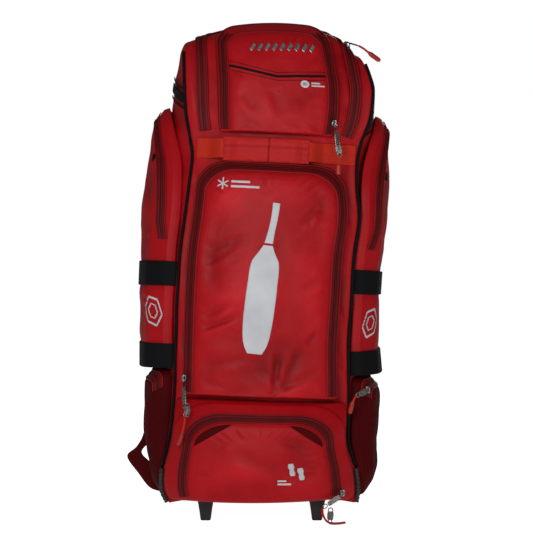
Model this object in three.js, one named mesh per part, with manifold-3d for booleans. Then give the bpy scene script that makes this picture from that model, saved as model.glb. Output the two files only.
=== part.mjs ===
// A wheeled cricket kit bag that stands on end, in millimetres.
// X runs across the bag, Y from its front to its back, and Z up. It stands on Z = 0.
import * as THREE from "three";
import { mergeVertices } from "three/addons/utils/BufferGeometryUtils.js";
import Module from "manifold-3d";

const wasm = await Module();
wasm.setup();

// Driving dimensions
const gap = 0.4; // clearance between pieces that touch
const seat = 0.96; // clearance under a strip that follows a curved wall
const cloth = 2.5; // thickness of the cloth walls
const tape = 1.6; // thickness of a zip's tape and teeth
const webbing = 2.4; // thickness of woven webbing

const bag = {
  height: 912, // from the lowest corners to the front edge of the top
  lift: 30, // from the floor to the lowest corners
  halfWidth: 250, // the widths in the table below are shares of it
  front: 112, // from the middle of the bag forward to its front corners
  back: 158, // from the middle back to the back panel
  bulge: 26, // how far the front swells between its corners
  backSwell: 8,
  crown: 26, // rise of the top's middle above its edges
  arch: 20, // rise of the bottom's middle above its corners
  cornerDrop: 26, // sag of the top's right corner
  slump: 8, // how far the seams sink towards the right
};

// Each section, from the bottom up. at is a share of bag.height, the next four of bag.halfWidth,
// front of bag.front and back of bag.back.
const sections = [
  { at: 0, left: 0.76, right: 0.688, sideLeft: 0.8, sideRight: 0.72, front: 0.95, back: 0.93 },
  { at: 0.029, left: 0.804, right: 0.7, sideLeft: 0.832, sideRight: 0.752, front: 1, back: 0.99 },
  { at: 0.077, left: 0.8, right: 0.68, sideLeft: 0.852, sideRight: 0.768, front: 1, back: 1 },
  { at: 0.132, left: 0.752, right: 0.628, sideLeft: 0.852, sideRight: 0.76, front: 1, back: 1 },
  { at: 0.193, left: 0.72, right: 0.632, sideLeft: 0.848, sideRight: 0.76, front: 1, back: 1 },
  { at: 0.263, left: 0.704, right: 0.632, sideLeft: 0.848, sideRight: 0.76, front: 1, back: 1 },
  { at: 0.344, left: 0.696, right: 0.628, sideLeft: 0.848, sideRight: 0.736, front: 1, back: 1 },
  { at: 0.441, left: 0.684, right: 0.652, sideLeft: 0.844, sideRight: 0.728, front: 1, back: 1 },
  { at: 0.537, left: 0.66, right: 0.672, sideLeft: 0.832, sideRight: 0.752, front: 1, back: 1 },
  { at: 0.616, left: 0.62, right: 0.712, sideLeft: 0.82, sideRight: 0.784, front: 1, back: 1 },
  { at: 0.68, left: 0.592, right: 0.696, sideLeft: 0.808, sideRight: 0.816, front: 0.98, back: 1 },
  { at: 0.735, left: 0.57, right: 0.698, sideLeft: 0.794, sideRight: 0.834, front: 0.94, back: 1 },
  { at: 0.78, left: 0.592, right: 0.73, sideLeft: 0.784, sideRight: 0.85, front: 0.95, back: 1 },
  { at: 0.827, left: 0.62, right: 0.796, sideLeft: 0.776, sideRight: 0.864, front: 0.97, back: 1 },
  { at: 0.888, left: 0.632, right: 0.824, sideLeft: 0.76, sideRight: 0.872, front: 0.95, back: 1 },
  { at: 0.932, left: 0.636, right: 0.8, sideLeft: 0.736, sideRight: 0.848, front: 0.9, back: 0.98 },
  { at: 0.965, left: 0.64, right: 0.768, sideLeft: 0.712, sideRight: 0.816, front: 0.82, back: 0.94 },
  { at: 0.984, left: 0.64, right: 0.742, sideLeft: 0.688, sideRight: 0.78, front: 0.7, back: 0.84 },
  { at: 0.996, left: 0.626, right: 0.7, sideLeft: 0.656, sideRight: 0.73, front: 0.46, back: 0.62 },
  { at: 1, left: 0.55, right: 0.62, sideLeft: 0.57, sideRight: 0.64, front: 0.16, back: 0.3 },
];

// Pockets. across and up give the edges as shares of the wall that the pocket is sewn to: the first edge at
// the bottom and top, the second edge at the bottom and top, then the bottom and the top. rise is how far
// it stands out, gusset how wide its sloping edge is, and taper how much more it stands out at its top.
// zip is the run of the outline's points that the zip follows, its edges as shares of the slope, and its
// clearance. lowInset narrows the slope along the bottom. front and rear are the corners' radii on the
// outline's two halves (left and right on the front wall), and zipCorner those of its inner rings. seat is
// the clearance under the sewn edge, where it differs from the common one.
const pockets = {
  helmet: {
    across: [0.172, 0.172, 0.838, 0.806],
    up: [0.787, 0.9925],
    rise: 32,
    gusset: 32,
    seat: 0.6,
    taper: -0.3,
    zip: { from: 4, steps: 19, near: 0.04, far: 0.96, seat },
    front: { bottom: [10, 10], top: [40, 30] },
    rear: { bottom: [10, 10], top: [40, 30] },
  },
  cool: {
    across: [0.042, 0.04, 0.938, 0.938],
    up: [0.229, 0.727],
    rise: 40,
    gusset: 34,
    taper: -0.1,
    zip: { from: 4, steps: 19, near: 0.04, far: 0.96, seat },
    front: { bottom: [10, 8], top: [62, 50] },
    rear: { bottom: [10, 8], top: [62, 50] },
  },
  shoe: {
    across: [0.012, 0.012, 0.988, 0.988],
    up: [0.012, 0.222],
    rise: 56,
    gusset: 56,
    lowInset: 0.35,
    taper: -0.12,
    zip: { from: 4, steps: 19, near: 0.5, far: 0.98, seat: 1.7 },
    front: { bottom: [8, 8], top: [10, 10] },
    rear: { bottom: [8, 8], top: [10, 10] },
    zipCorner: { bottom: [8, 8], top: [90, 70] },
  },
  side: {
    across: [0.045, 0.045, 0.82, 0.82],
    up: [0.285, 0.835],
    rise: 40,
    gusset: 34,
    seat: 0.25,
    taper: -0.3,
    zip: { from: 13, steps: 5, near: 0.04, far: 0.96, seat },
    front: { bottom: [30, 30], top: [120, 250] },
    rear: { bottom: [30, 30], top: [40, 40] },
  },
  lower: {
    across: [0.045, 0.045, 0.82, 0.82],
    up: [0.012, 0.276],
    rise: 32,
    gusset: 30,
    seat: 0.6,
    taper: 0.2,
    zip: { from: 9, steps: 9, near: 0.04, far: 0.96, seat },
    front: { bottom: [30, 40], top: [20, 16] },
    rear: { bottom: [30, 40], top: [20, 16] },
  },
};

// Rings of a pocket from its sewn edge inwards: inset is a share of the gusset, rise of the pocket's rise
const pocketRings = [
  { inset: 0, rise: 0 },
  { inset: 0.14, rise: 0.42 },
  { inset: 0.82, rise: 0.9 },
  { inset: 1.2, rise: 1 },
];
const middleInset = 0.76; // the innermost ring, as a share of the pocket's half width
const middleRise = 1.06;
const hem = 5; // how far past a pocket's edge a band still clears it

const zip = { slot: 8, tape: 24 }; // slot is the opening under the main zip's teeth
const mainZip = { left: 0.092, right: 0.91, low: 0.787, bend: 0.992, high: 0.9984, corner: 0.03, seat: 2.4 };
const piping = { radius: 3.2, stand: 1.12, low: 0.075, high: 0.975 };
const guard = { radius: 4.6, stand: 1.02, rib: 1.2, pitch: 10, low: 0.004, high: 0.062 };
const handle = {
  width: 40,
  level: 0.752,
  left: 0.03,
  right: 0.985,
  standOff: 18,
  gripWidth: 48,
  gripThickness: 15,
  gripLeft: 0.2,
  gripRight: 0.7,
  clearance: 1.4,
};
const band = { seat: 1.8, width: 48, upper: 0.482, lower: 0.306, reach: 0.93 };
const chevron = { width: 5, thickness: 3, left: [-0.7, 0.2], middle: [-0.02, 0.09], right: [0.7, 0.1] };
const trim = { width: 20, left: 0.858, right: 0.815, slope: 0.02, reach: 0.3 };
const tab = { from: 2.05, to: 2.9, left: [16.35, 16.53], right: [16.6, 16.78] };

const foot = { bottom: [20, 24], top: [44, 34], depth: 124, height: 56, flare: 14, left: -118, right: 98 };
const wheel = { radius: 40, width: 26, rim: 29, web: 14, segments: 16 };
const axle = { radius: 6, running: 0.4 };
const housing = { cheek: 9, clearance: 3, height: 98, depth: 84, behind: 4, lowest: 17 };
const wheelPlace = { left: -166, right: 146 };

const pad = { width: 68, thickness: 18, low: 0.56, high: 0.93, inner: 0.36, outer: 0.26 };
const strapWeb = { width: 34, thickness: 2.4, corner: 0.1 };
const buckle = { width: 44, height: 24, thickness: 8, drop: 8 };

const pull = { width: 13, thickness: 2, hole: 2.2, ring: 1.2 }; // ring is the clearance to its cord
const slider = { width: 12, length: 15, thickness: 5 };

// The left strap's loose loop: places of its middle line, each height a share of bag.height. Its width
// runs the same way everywhere, so that each of its facets is flat
const strapLoop = {
  across: [1, 0, 0.2],
  places: [
    [-178, 176, 0.386],
    [-208, 176, 0.316],
    [-238, 150, 0.246],
    [-257, 108, 0.189],
    [-268, 66, 0.14],
    [-272, 34, 0.1],
    [-264, 8, 0.066],
    [-246, -10, 0.04],
    [-216, -22, 0.021],
  ],
};

// Routes of the pull cords' middle lines, from the pull to the free tip, tied to the bag's height
const above = bag.height;
const cordDiameter = 4.5;
const cordRoutes = {
  cool: [
    [-155, -180, 0.22368 * above],
    [-157, -181, 0.20833 * above],
    [-160, -178, 0.19298 * above],
    [-164, -176, 0.17873 * above],
    [-168, -174, 0.16447 * above],
  ],
  helmet: [
    [139, -158, 0.77193 * above],
    [139, -158, 0.76206 * above],
    [138.5, -157, 0.75219 * above],
    [138, -156, 0.74232 * above],
    [138, -156, 0.73246 * above],
  ],
  main: [
    [181, -104, above + 11],
    [190, -107, above + 5],
    [199, -107, above - 2],
    [209, -104, above - 9],
    [222, -98, above - 17],
  ],
  side: [
    [173, -138, 0.26535 * above],
    [169.5, -141, 0.25877 * above],
    [166, -140, 0.25 * above],
    [163, -138, 0.23904 * above],
    [161, -136, 0.22697 * above],
  ],
  shoe: [
    [106, -190.5, 33],
    [107, -192, 22],
    [112, -191, 11],
    [121, -190, 4.6],
    [135, -188, 3.6],
    [150, -186, 5],
  ],
};

// Colours and finishes
const finish = {
  cloth: { color: 0xa9141c, roughness: 0.55 },
  mesh: { color: 0x5c1217, roughness: 0.9 },
  zip: { color: 0x4a0c12, roughness: 0.7 },
  orange: { color: 0xc2271c, roughness: 0.6 },
  black: { color: 0x141416, roughness: 0.8 },
  plastic: { color: 0x121214, roughness: 0.45 },
  grey: { color: 0x2a2a2d, roughness: 0.5 },
  metal: { color: 0x9a9a9c, roughness: 0.3, metalness: 1 },
  rubber: { color: 0x101010, roughness: 0.85 },
  strap: { color: 0x5a1116, roughness: 0.8 },
};

// Small helpers
const lerp = THREE.MathUtils.lerp;
const smooth = (x, low, high) => THREE.MathUtils.smoothstep(x, low, high);
const vector = (x, y, z) => new THREE.Vector3(x, y, z);
const range = (count, make) => Array.from({ length: count }, (_, i) => make(i));

// A column of a table at a share of its length, on a curve through the rows
const column = (rows, key, name, x) => {
  const last = rows.length - 1;
  const i = Math.min(Math.max(rows.findIndex((row) => row[key] > x) - 1, 0), last - 1);
  const row = x >= rows[last][key] ? last - 1 : i;
  const [a, b] = [rows[row], rows[row + 1]];
  const before = rows[Math.max(row - 1, 0)];
  const after = rows[Math.min(row + 2, last)];
  const span = b[key] - a[key];
  const t = THREE.MathUtils.clamp((x - a[key]) / span, 0, 1);
  const slopeA = ((b[name] - before[name]) / (b[key] - before[key])) * span;
  const slopeB = ((after[name] - a[name]) / (after[key] - a[key])) * span;
  const hermite = (2 * t ** 3 - 3 * t ** 2 + 1) * a[name] + (t ** 3 - 2 * t ** 2 + t) * slopeA;
  return hermite + (3 * t ** 2 - 2 * t ** 3) * b[name] + (t ** 3 - t ** 2) * slopeB;
};

// A closed surface from points and triangles, turned so that its faces point out
const surface = (points, triangles) => {
  const volume = triangles.reduce((sum, [a, b, c]) => {
    return sum + points[a].dot(points[b].clone().cross(points[c]));
  }, 0);
  const faces = volume < 0 ? triangles.map(([a, b, c]) => [a, c, b]) : triangles;
  const geometry = new THREE.BufferGeometry();
  const flat = points.flatMap((p) => p.toArray());
  geometry.setAttribute("position", new THREE.Float32BufferAttribute(flat, 3));
  geometry.setIndex(faces.flat());
  return geometry;
};

// Rings of points joined into one closed form, with a fan over each end
const loft = (rings) => {
  const count = rings[0].length;
  const points = rings.flat();
  const triangles = [];
  for (let row = 0; row < rings.length - 1; row += 1) {
    for (let i = 0; i < count; i += 1) {
      const [a, b] = [row * count + i, row * count + ((i + 1) % count)];
      triangles.push([a, b, b + count], [a, b + count, a + count]);
    }
  }
  for (const [row, flip] of [[0, true], [rings.length - 1, false]]) {
    const centre = points.length;
    const sum = rings[row].reduce((total, p) => total.add(p), vector(0, 0, 0));
    points.push(sum.divideScalar(count));
    for (let i = 0; i < count; i += 1) {
      const [a, b] = [row * count + i, row * count + ((i + 1) % count)];
      triangles.push(flip ? [b, a, centre] : [a, b, centre]);
    }
  }
  return surface(points, triangles);
};

// Two matching grids of points joined into a closed plate: upper and lower are rows of points
const slab = (upper, lower) => {
  const [rows, count] = [upper.length, upper[0].length];
  const points = [...upper.flat(), ...lower.flat()];
  const total = rows * count;
  const triangles = [];
  for (let row = 0; row < rows - 1; row += 1) {
    for (let i = 0; i < count - 1; i += 1) {
      const a = row * count + i;
      const face = [[a, a + 1, a + 1 + count], [a, a + 1 + count, a + count]];
      face.forEach(([p, q, r]) => triangles.push([p, q, r], [p + total, r + total, q + total]));
    }
  }
  const across = range(count, (i) => i);
  const up = range(rows, (row) => row * count);
  const edge = [
    ...across,
    ...up.slice(1).map((start) => start + count - 1),
    ...across.slice(0, -1).reverse().map((i) => total - count + i),
    ...up.slice(1, -1).reverse(),
  ];
  edge.forEach((a, i) => {
    const b = edge[(i + 1) % edge.length];
    triangles.push([b, a, a + total], [b, a + total, b + total]);
  });
  return surface(points, triangles);
};

const solidOf = (geometry) => {
  const bare = geometry.clone();
  bare.deleteAttribute("normal");
  bare.deleteAttribute("uv");
  const merged = mergeVertices(bare);
  const vertProperties = new Float32Array(merged.attributes.position.array);
  const triVerts = new Uint32Array(merged.index.array);
  return new wasm.Manifold(new wasm.Mesh({ numProp: 3, vertProperties, triVerts }));
};

const geometryOf = (solid) => {
  const mesh = solid.getMesh();
  const geometry = new THREE.BufferGeometry();
  geometry.setAttribute("position", new THREE.BufferAttribute(mesh.vertProperties, 3));
  geometry.setIndex(new THREE.BufferAttribute(mesh.triVerts, 1));
  return geometry;
};

const cut = (geometry, ...tools) => {
  return geometryOf(tools.reduce((solid, tool) => solid.subtract(solidOf(tool)), solidOf(geometry)));
};

const joined = (...geometries) => {
  const [first, ...rest] = geometries.map(solidOf);
  return geometryOf(rest.reduce((solid, other) => solid.add(other), first));
};

const block = (width, depth, height, x, y, z) => {
  return new THREE.BoxGeometry(width, depth, height).translate(x, y, z);
};

// How far a side wall swells between the front corner (0) and the back corner (1)
const sideSwell = (w) => (w < 0.5 ? 1 - Math.abs(1 - 2 * w) ** 2.4 : 1 - 0.5 * (2 * w - 1) ** 3);

// A place on the bag's wall. turn runs once round the bag: 0 to 1 across the front from left to right,
// 1 to 2 back along the right side, 2 to 3 across the back and 3 to 4 forward along the left side.
// up is a share of the height, and inset moves the wall inwards.
const wallPoint = (turn, up, inset = 0) => {
  const at = (name) => column(sections, "at", name, up);
  const left = -at("left") * bag.halfWidth + inset;
  const right = at("right") * bag.halfWidth - inset;
  const sideLeft = -at("sideLeft") * bag.halfWidth + inset;
  const sideRight = at("sideRight") * bag.halfWidth - inset;
  const front = at("front") * bag.front - inset;
  const back = at("back") * bag.back - inset;
  const side = Math.floor(turn) % 4;
  const t = turn - Math.floor(turn);
  const backLeft = lerp(left, sideLeft, sideSwell(1));
  const backRight = lerp(right, sideRight, sideSwell(1));
  const across = [2 * t - 1, 1, 1 - 2 * t, -1][side];
  const x = [
    lerp(left, right, t),
    lerp(right, sideRight, sideSwell(t)),
    lerp(backRight, backLeft, t),
    lerp(left, sideLeft, sideSwell(1 - t)),
  ][side];
  const y = [
    -front - bag.bulge * (1 - across ** 2) * smooth(up, -0.1, 0.05),
    lerp(-front, back, t),
    back + bag.backSwell * (1 - across ** 2),
    lerp(back, -front, t),
  ][side];
  const rise = bag.crown * (1 - across ** 2) * smooth(up, 0.9, 1);
  const arch = bag.arch * (1 - across ** 6) * (1 - smooth(up, 0, 0.06));
  const drop = bag.cornerDrop * smooth(across, 0.66, 1) * smooth(up, 0.88, 1);
  const slump = bag.slump * across * smooth(up, 0.1, 0.3) * (1 - smooth(up, 0.9, 1));
  const z = bag.lift + inset + up * (bag.height - 2 * inset) + rise + arch - drop - slump;
  return vector(x, y, z);
};

// A patch of the wall: t across it, seen from outside with the front edge first on both sides
const walls = {
  front: (t, up) => wallPoint(Math.min(Math.max(t, 0), 0.99999), up),
  right: (t, up) => wallPoint(1 + Math.min(Math.max(t, 0), 0.99999), up),
  back: (t, up) => wallPoint(2 + Math.min(Math.max(t, 0), 0.99999), up),
  left: (t, up) => wallPoint(4 - Math.min(Math.max(t, 0.00001), 1), up),
};

const centreLine = vector(0, 20, 0);
const sideStart = 0.03; // where the bands and trims start on a side, just behind the corner's piping

// The outward direction of a patch at a place
const outward = (patch, a, b) => {
  const step = 0.004;
  const across = patch(a + step, b).sub(patch(a - step, b));
  const upward = patch(a, b + step).sub(patch(a, b - step));
  const normal = across.cross(upward).normalize();
  const away = patch(a, b).sub(centreLine).setZ(b > 0.97 ? 60 : 0);
  return normal.dot(away) < 0 ? normal.negate() : normal;
};

// A strip that follows a patch: path is a list of places on it, width is across the path, and low and
// high are the heights of its two faces above the patch
const ribbon = (patch, path, width, low, high, columns = 1, lift = () => 0) => {
  const step = 0.0004;
  const rows = path.map(([a, b], i) => {
    const before = path[Math.max(i - 1, 0)];
    const after = path[Math.min(i + 1, path.length - 1)];
    const alongA = patch(a + step, b).sub(patch(a - step, b)).divideScalar(2 * step);
    const alongB = patch(a, b + step).sub(patch(a, b - step)).divideScalar(2 * step);
    const along = patch(after[0], after[1]).sub(patch(before[0], before[1])).normalize();
    const side = outward(patch, a, b).cross(along).normalize();
    const [aa, ab, bb] = [alongA.dot(alongA), alongA.dot(alongB), alongB.dot(alongB)];
    const [sa, sb] = [side.dot(alongA), side.dot(alongB)];
    const det = aa * bb - ab * ab;
    const moveA = (sa * bb - sb * ab) / det;
    const moveB = (sb * aa - sa * ab) / det;
    const places = range(columns + 1, (k) => {
      const share = (k / columns - 0.5) * width;
      return [a + moveA * share, b + moveB * share];
    });
    const face = (height) => places.map(([p, q]) => {
      return patch(p, q).addScaledVector(outward(patch, p, q), height + lift(a, b));
    });
    return { upper: face(high), lower: face(low) };
  });
  return slab(rows.map((row) => row.upper), rows.map((row) => row.lower));
};

// A tube of changing radius along points, each ring square to the path
const tube = (points, radiusAt, sides = 6) => {
  const rings = points.map((p, i) => {
    const before = points[Math.max(i - 1, 0)];
    const after = points[Math.min(i + 1, points.length - 1)];
    const along = after.clone().sub(before).normalize();
    const side = vector(0, 1, 0).cross(along).normalize();
    const other = along.clone().cross(side);
    return range(sides, (k) => {
      const angle = (2 * Math.PI * k) / sides;
      const radius = radiusAt(i);
      return p.clone()
        .addScaledVector(side, radius * Math.cos(angle))
        .addScaledVector(other, radius * Math.sin(angle));
    });
  });
  return loft(rings);
};

// The bag's body: a hollow cloth shell with the slot under the main zip and notches for the wheels
const bodyRows = sections.map((row) => row.at);
const bodyTurns = [
  ...range(9, (i) => i / 9),
  ...range(5, (i) => 1 + i / 5),
  ...range(4, (i) => 2 + i / 4),
  ...range(5, (i) => 3 + i / 5),
];
const shell = (inset) => loft(bodyRows.map((up) => bodyTurns.map((turn) => wallPoint(turn, up, inset))));

// The main zip runs up the left of the front, across the top and down the right
const mainZipPath = () => {
  const { left, right, low, bend, high, corner } = mainZip;
  const rows = [low, ...bodyRows.filter((up) => up > low + 0.02 && up < bend - 0.004), bend];
  const arc = range(4, (i) => {
    const angle = ((i + 1) / 5) * (Math.PI / 2);
    return [corner * (1 - Math.cos(angle)), bend + (high - bend) * Math.sin(angle)];
  });
  const half = [...rows.map((up) => [0, up]), ...arc];
  const top = range(7, (i) => [lerp(left + corner, right - corner, i / 6), high]);
  return [
    ...half.map(([a, b]) => [left + a, b]),
    ...top,
    ...half.reverse().map(([a, b]) => [right - a, b]),
  ];
};

const notch = (x, grow) => {
  const width = wheel.width + 2 * (housing.clearance + housing.cheek) + 2 * gap + 2 * grow;
  const front = bag.back - housing.depth - gap - grow;
  const depth = 2 * housing.depth;
  const top = housing.height + gap + grow;
  return block(width, depth, top + 50, x, front + depth / 2, top / 2 - 25);
};

const makeBody = () => {
  const places = Object.values(wheelPlace);
  const outer = cut(shell(0), ...places.map((x) => notch(x, 0)));
  const inner = cut(shell(cloth), ...places.map((x) => notch(x, cloth)));
  const slot = ribbon(walls.front, mainZipPath(), zip.slot, -4 * cloth, 4 * cloth);
  return cut(outer, inner, slot);
};

// Pockets: a bowed wall on rings that step in from the sewn edge, open towards the bag
const pocketPatch = (wall, pocket) => (a, b) => {
  const t = (b + 1) / 2;
  const [leftLow, leftHigh, rightLow, rightHigh] = pocket.across;
  const u = lerp(lerp(leftLow, leftHigh, t), lerp(rightLow, rightHigh, t), (a + 1) / 2);
  return wall(u, lerp(pocket.up[0], pocket.up[1], t));
};

const patchSize = (patch) => {
  const width = patch(1, 0).distanceTo(patch(-1, 0));
  const steps = 12;
  const heights = range(steps, (i) => {
    return patch(0, -1 + (2 * (i + 1)) / steps).distanceTo(patch(0, -1 + (2 * i) / steps));
  });
  return { width, height: heights.reduce((sum, value) => sum + value, 0) };
};

// One half of a pocket's outline, from the middle of its bottom to the middle of its top, in shares
const halfOutline = (size, inset, corner, mirror, lowInset = 1) => {
  const halfWidth = size.width / 2 - inset;
  const halfHeight = size.height / 2 - inset;
  const depth = size.height / 2 - inset * lowInset;
  const fit = ([x, z], shareOfInset) => [
    THREE.MathUtils.clamp(x - shareOfInset * inset, 4, 0.85 * halfWidth),
    THREE.MathUtils.clamp(z - shareOfInset * inset, 4, 0.9 * halfHeight),
  ];
  const [bottomX, bottomZ] = fit(corner.bottom, 0.3);
  const [topX, topZ] = fit(corner.top, 0.3);
  const arc = 4;
  const sides = 4;
  const bend = (rx, rz, reach, sign) => range(arc, (i) => {
    const angle = (Math.PI / 2) * (i / (arc - 1));
    const turn = sign < 0 ? Math.PI / 2 - angle : angle;
    return [halfWidth - rx + rx * Math.cos(turn), sign * (reach - rz + rz * Math.sin(turn))];
  });
  const from = -(depth - bottomZ);
  const to = halfHeight - topZ;
  const points = [
    [0.35 * (halfWidth - bottomX), -depth],
    ...bend(bottomX, bottomZ, depth, -1),
    ...range(sides, (i) => [halfWidth, lerp(from, to, (i + 1) / (sides + 1))]),
    ...bend(topX, topZ, halfHeight, 1),
    [0.35 * (halfWidth - topX), halfHeight],
  ];
  return points.map(([x, z]) => [(mirror * x) / (size.width / 2), z / (size.height / 2)]);
};

const ringTable = (pocket, size) => {
  const rings = pocketRings.map((ring, i) => ({
    inset: ring.inset * pocket.gusset,
    rise: ring.rise * pocket.rise,
    corner: i > 0 ? pocket.zipCorner : undefined,
  }));
  const middle = (middleInset * Math.min(size.width, size.height)) / 2;
  rings.push({ inset: middle, rise: middleRise * pocket.rise, corner: pocket.zipCorner });
  return rings;
};

const taperAt = (pocket, b) => 1 + pocket.taper * Math.max(b, 0) ** 2;

const pocketForm = (wall, pocket) => {
  const patch = pocketPatch(wall, pocket);
  const size = patchSize(patch);
  const rings = ringTable(pocket, size).map(({ inset, rise, corner }) => {
    const half = halfOutline(size, inset, corner ?? pocket.rear, 1, pocket.lowInset);
    const other = halfOutline(size, inset, corner ?? pocket.front, -1, pocket.lowInset).reverse();
    return [...half, ...other].map(([a, b]) => {
      const height = (pocket.seat ?? seat) + cloth + rise * taperAt(pocket, b);
      return patch(a, b).addScaledVector(outward(patch, a, b), height);
    });
  });
  return { wall, pocket, patch, size, rings };
};

// Height of a pocket's wall over the wall that it is sewn to, at a place given on that wall
const pocketHeight = ({ pocket, size }, t, up) => {
  const b = (2 * (up - pocket.up[0])) / (pocket.up[1] - pocket.up[0]) - 1;
  const share = THREE.MathUtils.clamp((b + 1) / 2, 0, 1);
  const left = lerp(pocket.across[0], pocket.across[1], share);
  const right = lerp(pocket.across[2], pocket.across[3], share);
  const a = (2 * (t - left)) / (right - left) - 1;
  const fromBottom = (1 + b) / (pocket.lowInset ?? 1);
  const inset = Math.min((1 - Math.abs(a)) * size.width, Math.min(1 - b, fromBottom) * size.height) / 2;
  if (inset < -hem) return 0;
  const rings = ringTable(pocket, size);
  const next = Math.max(rings.findIndex((ring) => ring.inset > inset), inset < 0 ? 1 : -1);
  const rise = next < 0 ? rings.at(-1).rise : THREE.MathUtils.mapLinear(
    Math.max(inset, 0), rings[next - 1].inset, rings[next].inset, rings[next - 1].rise, rings[next].rise,
  );
  return seat + cloth + rise * taperAt(pocket, b);
};

const pocketShell = ({ rings, patch }) => {
  const count = rings[0].length;
  const outer = rings.flat();
  const faces = [];
  for (let row = 0; row < rings.length - 1; row += 1) {
    for (let i = 0; i < count; i += 1) {
      const [a, b] = [row * count + i, row * count + ((i + 1) % count)];
      faces.push([a, b, b + count], [a, b + count, a + count]);
    }
  }
  const last = (rings.length - 1) * count;
  for (let i = 0; i < count / 2 - 1; i += 1) {
    const [a, b] = [last + i, last + i + 1];
    const [c, d] = [last + count - 2 - i, last + count - 1 - i];
    faces.push([a, b, c], [a, c, d]);
  }
  const normals = outer.map(() => vector(0, 0, 0));
  faces.forEach((face) => {
    const [a, b, c] = face.map((i) => outer[i]);
    const normal = b.clone().sub(a).cross(c.clone().sub(a)).normalize();
    face.forEach((i) => normals[i].add(normal));
  });
  const sum = normals.reduce((total, normal) => total.add(normal), vector(0, 0, 0));
  const facing = sum.dot(outward(patch, 0, 0)) < 0 ? -1 : 1;
  const inner = outer.map((p, i) => {
    return p.clone().addScaledVector(normals[i].normalize(), -facing * cloth);
  });
  const total = outer.length;
  const triangles = [...faces, ...faces.map(([a, b, c]) => [a + total, c + total, b + total])];
  for (let i = 0; i < count; i += 1) {
    const next = (i + 1) % count;
    triangles.push([next, i, i + total], [next, i + total, next + total]);
  }
  return surface([...outer, ...inner], triangles);
};

// A pocket's zip along its sloping edge, between two of its rings, over a run of the outline's points
const pocketZip = ({ rings, pocket, patch }) => {
  const count = rings[0].length;
  const away = outward(patch, 0, 0);
  const rows = range(pocket.zip.steps + 1, (i) => {
    const k = (pocket.zip.from + i) % count;
    const [p, q] = [rings[1][k], rings[2][k]];
    const [before, after] = [rings[1][(k + count - 1) % count], rings[1][(k + 1) % count]];
    const normal = q.clone().sub(p).cross(after.clone().sub(before)).normalize();
    if (normal.dot(away) < 0) normal.negate();
    const face = (height) => [pocket.zip.near, pocket.zip.far].map((share) => {
      return p.clone().lerp(q, share).addScaledVector(normal, height);
    });
    return { upper: face(pocket.zip.seat + tape), lower: face(pocket.zip.seat) };
  });
  return slab(rows.map((row) => row.upper), rows.map((row) => row.lower));
};

// A place on a pocket's faces: k counts the outline's points and ring the rings, both with fractions
const onRings = ({ rings, patch }, k, ring) => {
  const [row, i] = [Math.floor(ring), Math.floor(k)];
  const count = rings[0].length;
  const [p, q] = [rings[row][i % count], rings[row][(i + 1) % count]];
  const [r, t] = [rings[row + 1][i % count], rings[row + 1][(i + 1) % count]];
  const at = p.clone().lerp(q, k - i).lerp(r.clone().lerp(t, k - i), ring - row);
  const normal = q.clone().sub(p).cross(r.clone().sub(p)).normalize();
  if (normal.dot(outward(patch, 0, 0)) < 0) normal.negate();
  return { at, normal };
};

// A short webbing tab that lies on a pocket's slope
const makeTab = (form, [low, high]) => {
  const face = (height) => [low, high].map((k) => [tab.from, tab.to].map((ring) => {
    const { at, normal } = onRings(form, k, ring);
    return at.addScaledVector(normal, height);
  }));
  return slab(face(seat + webbing), face(seat));
};

// A band round a side wall over its pocket, from one share of the wall's depth to another
const sideBand = (form, up, width, from, to, slope = 0, steps = 7) => {
  const { wall, pocket } = form;
  const halfShare = width / 2 / bag.height;
  const edges = pocketRings.flatMap((ring) => {
    const share = ((ring.inset * pocket.gusset) / form.size.width) * (pocket.across[2] - pocket.across[0]);
    return [pocket.across[0] + share, pocket.across[2] - share];
  });
  const even = range(steps + 1, (i) => lerp(from, to, i / steps));
  const stations = [...even, ...edges.filter((t) => t > from && t < to)].sort((p, q) => p - q);
  const apart = stations.filter((t, i) => i === 0 || t - stations[i - 1] > 0.008);
  const rows = apart.map((t) => {
    const level = up + slope * (t - from);
    const place = (side, height) => {
      const at = level + side * halfShare;
      const rise = Math.max(pocketHeight(form, t, at), pocketHeight(form, t, level));
      return wall(t, at).addScaledVector(outward(wall, t, level), rise + height);
    };
    const face = (height) => [place(-1, height), place(1, height)];
    return { upper: face(band.seat + webbing), lower: face(band.seat) };
  });
  return slab(rows.map((row) => row.upper), rows.map((row) => row.lower));
};

// A corner tube just outside the front corner of the bag. stand, in radii, keeps it clear of a side wall
// that swells out beside it.
const cornerTube = (side, levels, radius, rib, sides, stand) => {
  const sign = side === "left" ? -1 : 1;
  const away = vector(sign, -1, 0).normalize();
  const points = levels.map((up) => {
    const corner = walls.front(side === "left" ? 0 : 1, up);
    return corner.addScaledVector(away, stand * radius + gap);
  });
  return tube(points, (i) => (i % 2 ? radius - rib : radius), sides);
};

// Handle: a webbing band that stands off the valley between two pockets, and a grip wrapped round it
const handleLift = (u) => {
  const { standOff, gripLeft, gripRight } = handle;
  return standOff * smooth(u, 0.09, gripLeft) * (1 - smooth(u, gripRight, 0.8));
};
const handlePath = (from, to, steps) => range(steps + 1, (i) => [lerp(from, to, i / steps), handle.level]);
const handleStrip = (from, to, steps, width, low, high) => {
  return ribbon(walls.front, handlePath(from, to, steps), width, low, high, 1, handleLift);
};

const makeGrip = () => {
  const { gripLeft, gripRight, gripWidth, gripThickness, width, clearance } = handle;
  const middle = seat + webbing / 2;
  const steps = 8;
  const outer = handleStrip(gripLeft, gripRight, steps, gripWidth, middle - gripThickness / 2,
    middle + gripThickness / 2);
  const spread = (gripRight - gripLeft) / steps;
  const hole = handleStrip(gripLeft - spread, gripRight + spread, steps + 2, width + 2 * gap,
    seat - clearance, seat + webbing + clearance);
  return cut(outer, hole);
};

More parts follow.
